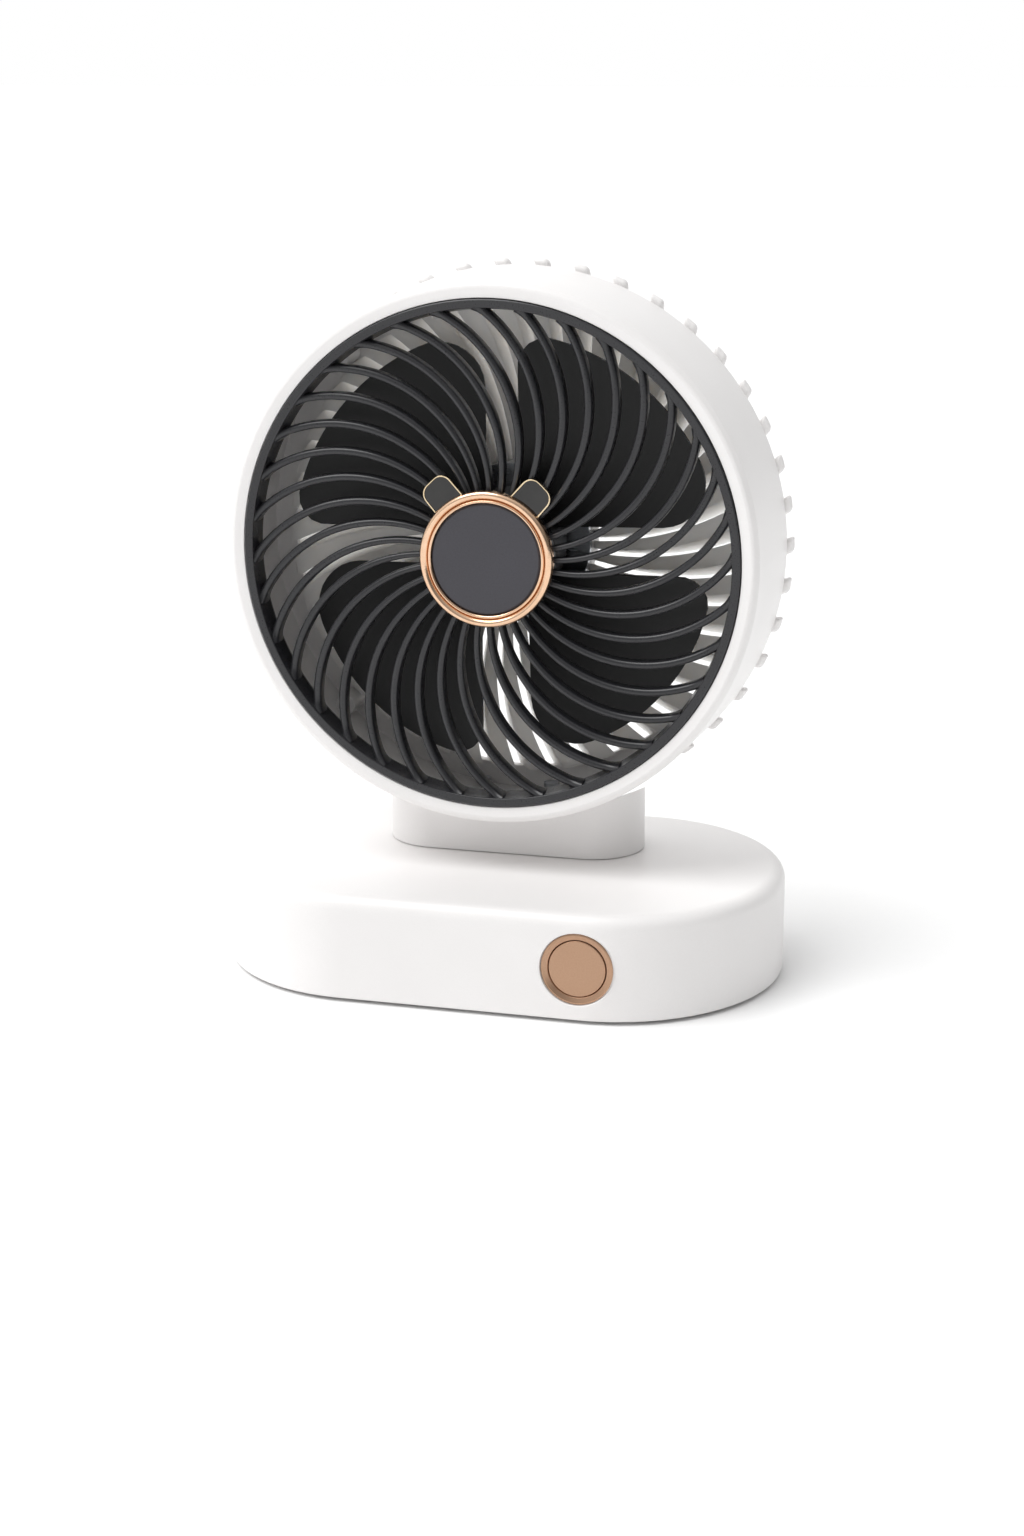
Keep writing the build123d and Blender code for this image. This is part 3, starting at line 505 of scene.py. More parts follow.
# ------------------------------------------------------------------ geometry nodes
class Grower:
    """A Geometry Nodes tree with named inputs, and a way to grow a plain mesh from it."""

    def __init__(self, name: str, inputs: dict[str, str]) -> None:
        """Make an empty tree.

        Args:
            name: the tree's name.
            inputs: the name of each input with its socket type.
        """
        self.tree = bpy.data.node_groups.new(name, "GeometryNodeTree")
        face = self.tree.interface
        face.new_socket("Geometry", in_out="INPUT", socket_type="NodeSocketGeometry")
        self.sockets = {label: face.new_socket(label, in_out="INPUT", socket_type=f"NodeSocket{kind}")
                        for label, kind in inputs.items()}
        face.new_socket("Geometry", in_out="OUTPUT", socket_type="NodeSocketGeometry")
        self.given = put(self.tree, "NodeGroupInput").outputs

    def add(self, kind: str, inputs: dict[Any, Any] | None = None, **settings: Any) -> Any:
        """Add a node to the tree."""
        return put(self.tree, kind, inputs, **settings)

    def sum(self, operation: str, first: Any, second: Any) -> Any:
        """Add a calculation with two numbers, and give its result."""
        return self.add("ShaderNodeMath", {0: first, 1: second}, operation=operation).outputs[0]

    def end(self, copies: Any) -> None:
        """Make the copies real, give them their material and send them out."""
        real = self.add("GeometryNodeRealizeInstances", {"Geometry": copies})
        dressed = self.add("GeometryNodeSetMaterial",
                           {"Geometry": real.outputs[0], "Material": self.given["Material"]})
        self.add("NodeGroupOutput", {"Geometry": dressed.outputs[0]})

    def about_axis(self, shape: Any, depth: Any) -> Any:
        """Copy a flat shape round the fan's axis, stand it up and move it to its depth.

        Args:
            shape: geometry drawn in the XY plane about the origin, with Y up and Z to the front.
            depth: the depth of its zero level.

        Returns:
            The socket with the copies.
        """
        points = self.add("GeometryNodePoints", {"Count": self.given["Count"]})
        index = self.add("GeometryNodeInputIndex").outputs[0]
        share = self.sum("DIVIDE", index, self.given["Count"])
        turn = self.sum("MULTIPLY", share, 2 * pi)
        spin = self.sum("SUBTRACT", turn, self.given["First angle"])
        rotation = self.add("FunctionNodeAxisAngleToRotation", {"Axis": (0, 0, 1), "Angle": spin})
        copies = self.add("GeometryNodeInstanceOnPoints", {"Points": points.outputs[0], "Instance": shape,
                                                           "Rotation": rotation.outputs[0]})
        place = self.add("ShaderNodeCombineXYZ", {"X": 0.0, "Y": depth, "Z": self.given["Axis height"]})
        stood = self.add("GeometryNodeTransform", {"Geometry": copies.outputs[0], "Rotation": (pi / 2, 0, 0),
                                                   "Translation": place.outputs[0]})
        return stood.outputs[0]

    def grow(self, name: str, values: dict[str, Any],
             seeds: Sequence[Sequence[float]] = ()) -> bpy.types.Object:
        """Run the tree on a new piece, and keep the result as a plain mesh.

        Args:
            name: the piece's name.
            values: the value of each input.
            seeds: points in millimetres that the tree starts from, if it needs any.

        Returns:
            The new piece.
        """
        mesh = bpy.data.meshes.new(name)
        mesh.from_pydata([Vector(seed) * MM for seed in seeds], [], [])
        piece = placed_object(name, mesh)
        modifier = piece.modifiers.new(name, "NODES")
        modifier.node_group = self.tree
        for label, value in values.items():
            modifier[self.sockets[label].identifier] = value
        settle(piece)
        tidy(piece)
        return piece


class SweptRibs(Grower):
    """Round-edged bars that leave a hub square and bend anticlockwise to a ring."""

    def __init__(self) -> None:
        """Build the tree."""
        super().__init__("swept_ribs", {"Count": "Int"} | dict.fromkeys(
            ("Root radius", "Bend radius", "Sweep", "Width", "Thickness", "Rounding", "Root share", "Flare",
             "First angle", "Axis height", "Depth"), "Float") | {"Material": "Material"})
        given = self.given
        bend = self.add("GeometryNodeCurveArc", {"Resolution": 56, "Radius": given["Bend radius"],
                                                 "Start Angle": 0.0, "Sweep Angle": given["Sweep"]})
        left = self.sum("MULTIPLY", given["Bend radius"], -1.0)
        start = self.add("ShaderNodeCombineXYZ", {"X": left, "Y": given["Root radius"]})
        path = self.add("GeometryNodeTransform",
                        {"Geometry": bend.outputs[0], "Translation": start.outputs[0]})
        level = self.add("GeometryNodeSetCurveNormal", {"Curve": path.outputs[0]}, mode="Z_UP")
        along = self.add("GeometryNodeSplineParameter").outputs["Factor"]
        swell = self.add("ShaderNodeMapRange", {"Value": along, "From Min": 0.02, "From Max": 0.45,
                                                "To Min": given["Root share"], "To Max": 1.0},
                         interpolation_type="SMOOTHSTEP")
        flare = self.add("ShaderNodeMapRange", {"Value": along, "From Min": 0.93, "From Max": 1.0,
                                                "To Min": 0.0, "To Max": 1.0})
        steep = self.sum("POWER", flare.outputs["Result"], 2.0)
        foot = self.sum("MULTIPLY", steep, given["Flare"])
        scale = self.sum("ADD", swell.outputs["Result"], foot)
        section = self.add("GeometryNodeCurvePrimitiveQuadrilateral",
                           {"Width": given["Width"], "Height": given["Thickness"]})
        soft = self.add("GeometryNodeFilletCurve", {"Curve": section.outputs[0], "Count": 4,
                                                    "Radius": given["Rounding"], "Limit Radius": True},
                        mode="POLY")
        bar = self.add("GeometryNodeCurveToMesh",
                       {"Curve": level.outputs[0], "Profile Curve": soft.outputs[0], "Scale": scale,
                        "Fill Caps": True})
        self.end(self.about_axis(bar.outputs[0], given["Depth"]))


class Vanes(Grower):
    """Vanes that follow a bend and lean round the axis, and the nubs beyond them."""

    def __init__(self) -> None:
        """Build the tree."""
        super().__init__("vanes", dict.fromkeys(("Count", "Steps out", "Layers"), "Int") | dict.fromkeys(
            ("Root radius", "Bend radius", "Start", "End", "Angular width", "Lean", "Thickness",
             "First angle", "Axis height", "Depth"), "Float") | {"Material": "Material"})
        given = self.given
        block = self.add("GeometryNodeMeshCube", {"Size": (1.0, 1.0, 1.0), "Vertices X": given["Steps out"],
                                                  "Vertices Y": 2, "Vertices Z": given["Layers"]})
        here = self.add("ShaderNodeSeparateXYZ",
                        {"Vector": self.add("GeometryNodeInputPosition").outputs[0]}).outputs
        bend = self.add("ShaderNodeMapRange", {"Value": here["X"], "From Min": -0.5, "From Max": 0.5,
                                               "To Min": given["Start"], "To Max": given["End"]})
        bend_cos = self.sum("COSINE", bend.outputs["Result"], 0.0)
        bend_sin = self.sum("SINE", bend.outputs["Result"], 0.0)
        inward = self.sum("SUBTRACT", bend_cos, 1.0)
        x = self.sum("MULTIPLY", inward, given["Bend radius"])
        rise = self.sum("MULTIPLY", bend_sin, given["Bend radius"])
        y = self.sum("ADD", rise, given["Root radius"])
        z = self.sum("MULTIPLY", here["Z"], given["Thickness"])
        spine = self.add("ShaderNodeCombineXYZ", {"X": x, "Y": y, "Z": z})
        spread = self.sum("MULTIPLY", here["Y"], given["Angular width"])
        slope = self.sum("MULTIPLY", here["Z"], given["Lean"])
        turn = self.sum("ADD", spread, slope)
        fanned = self.add("ShaderNodeVectorRotate", {"Vector": spine.outputs[0], "Axis": (0, 0, 1),
                                                     "Angle": turn})
        vane = self.add("GeometryNodeSetPosition",
                        {"Geometry": block.outputs["Mesh"], "Position": fanned.outputs[0]})
        self.end(self.about_axis(vane.outputs[0], given["Depth"]))


class RoundCopies(Grower):
    """Copies of one piece round the fan's axis, each turned with its place."""

    def __init__(self) -> None:
        """Build the tree."""
        super().__init__("round_copies", {
            "Count": "Int", "Radius": "Float", "First angle": "Float", "Axis height": "Float",
            "Depth": "Float", "Pattern": "Object", "Material": "Material"})
        pattern = self.add("GeometryNodeObjectInfo", {"Object": self.given["Pattern"]})
        out = self.add("ShaderNodeCombineXYZ", {"Y": self.given["Radius"]})
        moved = self.add("GeometryNodeTransform",
                         {"Geometry": pattern.outputs["Geometry"], "Translation": out.outputs[0]})
        self.end(self.about_axis(moved.outputs[0], self.given["Depth"]))


class PlacedCopies(Grower):
    """Copies of one piece at given points, all turned one way."""

    def __init__(self) -> None:
        """Build the tree."""
        super().__init__("placed_copies", {"Rotation": "Vector", "Pattern": "Object", "Material": "Material"})
        pattern = self.add("GeometryNodeObjectInfo", {"Object": self.given["Pattern"]})
        copies = self.add("GeometryNodeInstanceOnPoints",
                          {"Points": self.given["Geometry"], "Instance": pattern.outputs["Geometry"],
                           "Rotation": self.given["Rotation"]})
        self.end(copies.outputs[0])


def screw(name: str, head_radius: float, head_height: float, shank_radius: float, length: float,
          wardrobe: Wardrobe) -> bpy.types.Object:
    """Make one pan-head screw with a cross recess, its shank along -Z from the head's seat at the origin.

    Args:
        name: the pattern's name.
        head_radius: radius of the head.
        head_height: height of the head over its seat.
        shank_radius: radius of the shank.
        length: length of the shank.
        wardrobe: where the materials are.

    Returns:
        A screw to copy and then discard.
    """
    dome = arc((0, 0), (head_radius, head_height), 90, 12, 8)
    points = dome + [(head_radius, 0.0), (shank_radius, 0.0), (shank_radius, -length + shank_radius * 0.7),
                     (0.0, -length)]
    outline = [(0.0 if radius < 0.001 else radius, height) for radius, height in points]
    body = lathe(name, outline, 32, (0.0, 0.0))
    # the lathe turns about Y, so a quarter turn about X stands the screw up
    for vertex in body.data.vertices:
        x, y, z = vertex.co
        vertex.co = (x, -z, y)
    tidy(body)
    arm = head_radius * 0.62
    half = head_radius * 0.13
    bottom = head_height * 0.35
    cross = []
    for wide, deep in ((arm, half), (half, arm)):
        corners = [(x, y, z) for z in (bottom, head_height * 2) for x, y in
                   ((-wide, -deep), (wide, -deep), (wide, deep), (-wide, deep))]
        faces = [(0, 1, 2, 3), (4, 5, 6, 7)] + [(i, (i + 1) % 4, 4 + (i + 1) % 4, 4 + i) for i in range(4)]
        cross.append(solid(f"{name}_slot", corners, faces))
    for tool in cross:
        carve(body, tool)
    body.data.materials.append(wardrobe.material(ZINC_STEEL))
    return body


# ------------------------------------------------------------------ sub-assemblies
@dataclass
class Base:
    """The long rounded base: casing and floor from the frame, with rubber feet and case screws."""

    wardrobe: Wardrobe
    placed: PlacedCopies
    foot_radius: float = 7.0
    foot_height: float = 2.2
    foot_dish: float = 0.35
    screw_head: float = 2.8
    screw_head_height: float = 1.2
    screw_shank: float = 1.25

    def corners(self, node: str, inset: float) -> list[Point]:
        """The four places of a node that repeats at the corners of a rectangle, inset from its box."""
        box = Span.of(node)
        return [(x, y) for x in (box.low.x + inset, box.high.x - inset)
                for y in (box.low.y + inset, box.high.y - inset)]

    def feet(self) -> None:
        """Make the rubber feet, with a rounded edge and a shallow dish underneath."""
        outline = rounded([(self.foot_radius, 0.0), (self.foot_radius, self.foot_height),
                           (0.0, self.foot_height), (0.0, self.foot_dish),
                           (self.foot_radius * 0.6, self.foot_dish), (self.foot_radius * 0.72, 0.0)],
                          [0.5, 0.1, 0, 0, 0.3, 0.3])
        pattern = lathe("foot_pattern", outline, 64, (0.0, 0.0))
        places = [(x, y, 0.0) for x, y in self.corners("rubber_feet", self.foot_radius)]
        feet = self.placed.grow("rubber_foot_set", {
            "Rotation": (pi / 2, 0.0, 0.0), "Pattern": pattern,
            "Material": self.wardrobe.material(RUBBER)}, places)
        bpy.data.objects.remove(pattern)
        even_shading(feet)
        self.wardrobe.dress(feet, RUBBER, "rubber", "base", "rubber_feet")

    def screws(self) -> None:
        """Make the case screws, heads down, with cross recesses."""
        box = Span.of("base_screws")
        seat = box.low.z + self.screw_head_height
        pattern = screw("case_screw_pattern", self.screw_head, self.screw_head_height, self.screw_shank,
                        box.high.z - seat, self.wardrobe)
        places = [(x, y, seat) for x, y in self.corners("base_screws", self.screw_head)]
        screws = self.placed.grow("case_screw_set", {
            "Rotation": (pi, 0.0, 0.0), "Pattern": pattern,
            "Material": self.wardrobe.material(ZINC_STEEL)}, places)
        bpy.data.objects.remove(pattern)
        even_shading(screws, 35.0)
        self.wardrobe.dress(screws, ZINC_STEEL, "steel", "base", "base_screws")

    def build(self) -> None:
        """Make and dress the base."""
        self.feet()
        self.screws()
        repaint = self.wardrobe.repaint
        repaint(WHITE_ABS, "base_shell", "base_plate")
        repaint(ZINC_STEEL, "ballast_plate", "board_screws", "usb_socket")
        repaint(NATURAL_NYLON, "battery_tray", "board_posts", "swivel_washer")
        repaint(BLACK_ACETAL, "button_switch")
        repaint(BLUE_SLEEVE, "battery_cells")
        repaint(GREEN_BOARD, "charging_board", "switch_board")


@dataclass
class PowerButton:
    """The push button: a bevelled ring in the base, and a disc that travels inside it."""

    wardrobe: Wardrobe
    bore: float = 9.45
    flange_thickness: float = 0.7
    guide_radius: float = 10.6
    bevel_lip: float = 0.55
    cap_wall: float = 1.4
    stem_radius: float = 2.6
    cap_skirt: float = 6.0
    cap_top: float = 1.0

    def ring(self) -> None:
        """Make the ring: a narrow outer lip and a bevel that falls inwards to the disc."""
        box = Span.of("button_bezel")
        outer = box.radius
        front = box.low.y
        seat = front + self.flange_thickness
        outline = rounded([(self.bore, front + 0.95), (self.bore + 0.25, front + 0.62),
                           (outer - self.bevel_lip, front), (outer, front + 0.12), (outer, seat),
                           (self.guide_radius, seat), (self.guide_radius, box.high.y),
                           (self.bore, box.high.y)],
                          [0.1, 0.15, 0.22, 0.2, 0.1, 0, 0.2, 0.2])
        ring = lathe("button_ring", outline, 160, (box.middle.x, box.middle.z))
        even_shading(ring)
        self.wardrobe.dress(ring, ROSE_SATIN, "rose_gold", "base", "button_bezel")

    def cap(self) -> None:
        """Make the disc, a shallow cup with a stem behind it."""
        box = Span.of("button_cap")
        radius = box.radius
        front = box.low.y
        outline = rounded([(0.0, front), (radius, front), (radius, front + self.cap_skirt),
                           (radius - self.cap_wall, front + self.cap_skirt),
                           (radius - self.cap_wall, front + self.cap_top),
                           (self.stem_radius, front + self.cap_top), (self.stem_radius, box.high.y),
                           (0.0, box.high.y)], [0, 0.35, 0.2, 0.2, 0.2, 0.2, 0.2, 0])
        cap = lathe("button_disc", outline, 160, (box.middle.x, box.middle.z))
        even_shading(cap)
        self.wardrobe.dress(cap, ROSE_SATIN, "rose_gold", "power_button", "button_cap")

    def build(self) -> None:
        """Make and dress the button."""
        self.ring()
        self.cap()
        self.wardrobe.repaint(BLACK_ACETAL, "switch_plunger")


@dataclass
class Neck:
    """The neck: casing from the frame, and the swivel and tilt hardware inside it."""

    wardrobe: Wardrobe

    def build(self) -> None:
        """Dress the neck."""
        repaint = self.wardrobe.repaint
        repaint(WHITE_ABS, "neck_shell")
        repaint(NATURAL_NYLON, "swivel_plate", "swivel_retainer")
        repaint(ZINC_STEEL, "neck_screws", "retainer_screws", "tilt_bracket", "tilt_pin", "tilt_nut")
        repaint(RUBBER, "friction_washers")


@dataclass
class FrontGrille:
    """The charcoal guard: a flat-faced ring, the spiral of ribs and the boss behind the badge."""

    wardrobe: Wardrobe
    ribs: SweptRibs
    ring_outer: float = 82.4
    ring_inner: float = 79.6
    lip: float = 0.9
    flange_front: float = 5.3
    flange_thickness: float = 2.0
    rib_count: int = 36
    rib_width: float = 2.5
    rib_front: float = 1.8
    rib_back: float = 7.2
    rib_root: float = 20.5
    rib_bend: float = 47.1
    rib_sweep: float = 86.0
    rib_root_share: float = 0.76
    rib_flare: float = 0.55
    boss_setback: float = 1.0
    boss_depth: float = 6.7
    boss_inset: float = 1.2
    boss_wall: float = 2.0

    def ring(self) -> None:
        """Make the ring: a flat front face, a rounded inner edge, and a skirt that closes in behind it."""
        box = Span.of("front_grille")
        front = box.low.y
        back = box.high.y
        flange = front + self.flange_front
        outline = rounded([
            (self.ring_inner, front + 0.1), (self.ring_outer - 0.35, front), (self.ring_outer, front + 0.35),
            (self.ring_outer, flange), (box.radius, flange), (box.radius, flange + self.flange_thickness),
            (self.ring_outer, flange + self.flange_thickness), (self.ring_outer - 0.6, back),
            (self.ring_inner + 0.2, back), (self.ring_inner - 0.9, back - 3.2),
            (self.ring_inner - 0.2, front + 2.4)],
            [0.45, 0.15, 0.15, 0, 0.2, 0.2, 0, 0.2, 0.3, 0.6, 0.3])
        ring = lathe("grille_ring", outline, 320)
        even_shading(ring)
        self.wardrobe.dress(ring, CHARCOAL_ABS, "charcoal_grille", "head", "front_grille")

    def spiral(self) -> None:
        """Grow the ribs from the boss to the ring."""
        front = Span.of("front_grille").low.y
        middle = front + (self.rib_front + self.rib_back) / 2
        spiral = self.ribs.grow("grille_ribs", {
            "Count": self.rib_count, "Root radius": self.rib_root * MM, "Bend radius": self.rib_bend * MM,
            "Sweep": radians(self.rib_sweep), "Width": self.rib_width * MM,
            "Thickness": (self.rib_back - self.rib_front) * MM, "Rounding": 0.48 * self.rib_width * MM,
            "Root share": self.rib_root_share, "Flare": self.rib_flare, "First angle": 0.0,
            "Axis height": AXIS_HEIGHT * MM, "Depth": middle * MM,
            "Material": self.wardrobe.material(CHARCOAL_ABS)})
        self.wardrobe.dress(spiral, CHARCOAL_ABS, "charcoal_grille", "head")

    def boss(self) -> None:
        """Make the dished boss that the ribs meet in the middle."""
        box = Span.of("front_grille")
        front = box.low.y + self.boss_setback
        back = front + self.boss_depth
        floor = front + self.boss_wall
        radius = Span.of("trim_ring").radius - self.boss_inset
        inner = radius - self.boss_wall
        outline = rounded([(0.0, front), (radius, front), (radius, back), (inner, back), (inner, floor),
                           (0.0, floor)], [0, 0.3, 0.5, 0.5, 0.5, 0])
        boss = lathe("grille_boss", outline, 160)
        even_shading(boss)
        self.wardrobe.dress(boss, CHARCOAL_ABS, "charcoal_grille", "head")

    def build(self) -> None:
        """Make and dress the front grille."""
        self.ring()
        self.spiral()
        self.boss()


@dataclass
class HubBadge:
    """The plain badge in the middle: plated trim, painted cap, and two smoked lobes with gold edges."""

    wardrobe: Wardrobe
    groove: float = 19.4
    cap_gap: float = 0.15
    bead_rise: float = 1.7
    ridge_rise: float = 0.95
    ridge_setback: float = 1.4
    edge: float = 0.45
    lobe_corners: tuple[tuple[float, float], ...] = ((19.5, 20.6), (27.5, 31.6), (47.5, 30.4), (51.0, 20.6))
    lobe_rounding: float = 3.8

    def trim(self) -> None:
        """Make the trim: a broad outer bead and a narrow inner one, with a groove between."""
        box = Span.of("trim_ring")
        cap = Span.of("hub_cap").radius
        outer = box.radius
        front = box.low.y
        back = box.high.y
        broad = (outer - self.groove) / 2
        narrow = (self.groove - cap - self.cap_gap) / 2
        bead = arc((self.groove + broad, front + self.bead_rise), (broad, -self.bead_rise), 0, 168, 20)
        ridge = arc((self.groove - narrow, front + self.ridge_setback), (narrow, -self.ridge_rise),
                    12, 180, 14)
        outline = [(outer, back)] + bead + ridge + [(cap + self.cap_gap, back)]
        trim = lathe("badge_trim", outline, 240)
        even_shading(trim)
        self.wardrobe.dress(trim, ROSE_POLISHED, "rose_gold", "head", "trim_ring")

    def cap(self) -> None:
        """Make the cap: flat, with a fine bevelled edge and a barely raised centre point."""
        box = Span.of("hub_cap")
        front = box.low.y
        outline = rounded([(0.0, front), (box.radius - 0.55, front + 0.02), (box.radius, front + 0.5),
                           (box.radius, box.high.y), (0.0, box.high.y)], [0, 0.15, 0.2, 0, 0])
        cap = lathe("badge_cap", outline, 240)
        even_shading(cap)
        self.wardrobe.dress(cap, SOFT_GREY, "grey_cap", "head", "hub_cap")

    def lobe_outline(self, side: int, inset: float) -> list[Point]:
        """The outline of one lobe, moved in by inset."""
        middle = sum(angle for angle, _ in self.lobe_corners) / len(self.lobe_corners)
        corners = []
        for angle, radius in self.lobe_corners:
            reach = radius - (inset if radius > Span.of("trim_ring").radius else 0.0)
            lean = angle + (inset if angle < middle else -inset) * 180 / pi / radius
            corners.append(polar(reach, side * lean))
        return rounded(corners, [0.1, self.lobe_rounding - inset, self.lobe_rounding - inset, 0.1], 8)

    def lobes(self) -> None:
        """Make the two lobes: a thin gold edge round a smoked window."""
        box = Span.of("tab_frames")
        edges = []
        windows = []
        for side in (-1, 1):
            rim = plate(f"edge_{side + 1}", self.lobe_outline(side, 0.0), box.low.y, box.high.y)
            carve(rim, plate("opening", self.lobe_outline(side, self.edge), box.low.y - 1, box.high.y + 1))
            soften(rim, 0.12, 2)
            edges.append(rim)
            pane = plate(f"pane_{side + 1}", self.lobe_outline(side, self.edge - 0.02), box.low.y + 0.3,
                         box.high.y)
            soften(pane, 0.1, 2)
            windows.append(pane)
        frame_pair = joined("lobe_edges", edges)
        even_shading(frame_pair)
        self.wardrobe.dress(frame_pair, PALE_GOLD, "pale_gold", "head", "tab_frames")
        pane_pair = joined("lobe_windows", windows)
        even_shading(pane_pair)
        self.wardrobe.dress(pane_pair, SMOKED, "smoked_plastic", "head", "tab_inlays")

    def build(self) -> None:
        """Make and dress the badge."""
        self.trim()
        self.cap()
        self.lobes()


@dataclass
class Drum:
    """The head's drum, from the frame, and the foot that carries it in the neck."""

    wardrobe: Wardrobe

    def build(self) -> None:
        """Dress the drum."""
        self.wardrobe.repaint(WHITE_ABS, "head_shell", "head_foot")
        self.wardrobe.repaint(ZINC_STEEL, "foot_screws")


@dataclass
class RearCover:
    """The white back grille: a ring with nubs round its edge, bent vanes and the motor's cup."""

    wardrobe: Wardrobe
    vanes: Vanes
    copies: RoundCopies
    ring_inner: float = 80.2
    ring_outer: float = 89.0
    ring_thickness: float = 3.7
    cup_inner: float = 20.6
    cup_floor: float = 2.4
    cup_outer: float = 26.0
    vane_count: int = 42
    vane_root: float = 25.0
    vane_bend: float = 94.0
    vane_end: float = 34.9
    vane_angle: float = 5.4
    vane_lean: float = 4.0
    vane_depth: float = 8.5
    nub_start: float = 38.6
    nub_end: float = 42.6
    nub_angle: float = 3.4
    screw_radius: float = 84.4
    screw_count: int = 4
    screw_head: float = 2.2
    screw_head_height: float = 1.15
    screw_shank: float = 1.15

    def shared(self) -> dict[str, Any]:
        """The inputs that the vanes and the nubs have in common."""
        return {"Count": self.vane_count, "Root radius": self.vane_root * MM,
                "Bend radius": self.vane_bend * MM, "Axis height": AXIS_HEIGHT * MM,
                "Material": self.wardrobe.material(WHITE_ABS)}

    def build(self) -> None:
        """Make and dress the back grille."""
        box = Span.of("rear_cover")
        back = box.high.y
        front = back - self.ring_thickness
        ring = lathe("back_ring", rounded([
            (self.ring_inner, front), (self.ring_outer, front), (self.ring_outer, back),
            (self.ring_inner, back)], [0.4, 0.3, 1.0, 0.6]), 320)
        even_shading(ring)
        self.wardrobe.dress(ring, WHITE_ABS, "white_casing", "head", "rear_cover")
        cup = lathe("back_cup", rounded([
            (0.0, back - self.cup_floor), (self.cup_inner, back - self.cup_floor),
            (self.cup_inner, box.low.y), (self.cup_outer, box.low.y), (self.cup_outer, back), (0.0, back)],
            [0, 0.5, 0.3, 0.4, 1.2, 0]), 200)
        even_shading(cup)
        self.wardrobe.dress(cup, WHITE_ABS, "white_casing", "head")
        vanes = self.vanes.grow("back_vanes", self.shared() | {
            "Start": 0.0, "End": radians(self.vane_end), "Angular width": radians(self.vane_angle),
            "Lean": radians(self.vane_lean), "First angle": 0.0, "Thickness": self.vane_depth * MM,
            "Depth": (back - 0.1 - self.vane_depth / 2) * MM, "Steps out": 20, "Layers": 4})
        soften(vanes, 0.45, 2)
        even_shading(vanes)
        self.wardrobe.dress(vanes, THIN_WHITE_ABS, "white_casing", "head")
        nubs = self.vanes.grow("back_nubs", self.shared() | {
            "Start": radians(self.nub_start), "End": radians(self.nub_end),
            "Angular width": radians(self.nub_angle), "Lean": 0.0, "First angle": radians(self.vane_lean / 2),
            "Thickness": self.ring_thickness * MM, "Depth": (back - self.ring_thickness / 2) * MM,
            "Steps out": 2, "Layers": 2})
        soften(nubs, 1.5, 5)
        even_shading(nubs)
        self.wardrobe.dress(nubs, WHITE_ABS, "white_casing", "head")
        self.screws()

    def screws(self) -> None:
        """Make the cover's screws, heads to the back."""
        box = Span.of("cover_screws")
        seat = box.high.y - self.screw_head_height
        pattern = screw("cover_screw_pattern", self.screw_head, self.screw_head_height, self.screw_shank,
                        seat - box.low.y, self.wardrobe)
        # the copies' front is the pattern's +Z, so the screw is turned over to face the back
        for vertex in pattern.data.vertices:
            vertex.co.y, vertex.co.z = -vertex.co.y, -vertex.co.z
        screws = self.copies.grow("cover_screw_set", {
            "Count": self.screw_count, "Radius": self.screw_radius * MM, "First angle": radians(45.0),
            "Axis height": AXIS_HEIGHT * MM, "Depth": seat * MM, "Pattern": pattern,
            "Material": self.wardrobe.material(ZINC_STEEL)})
        bpy.data.objects.remove(pattern)
        even_shading(screws, 35.0)
        self.wardrobe.dress(screws, ZINC_STEEL, "steel", "head", "cover_screws")


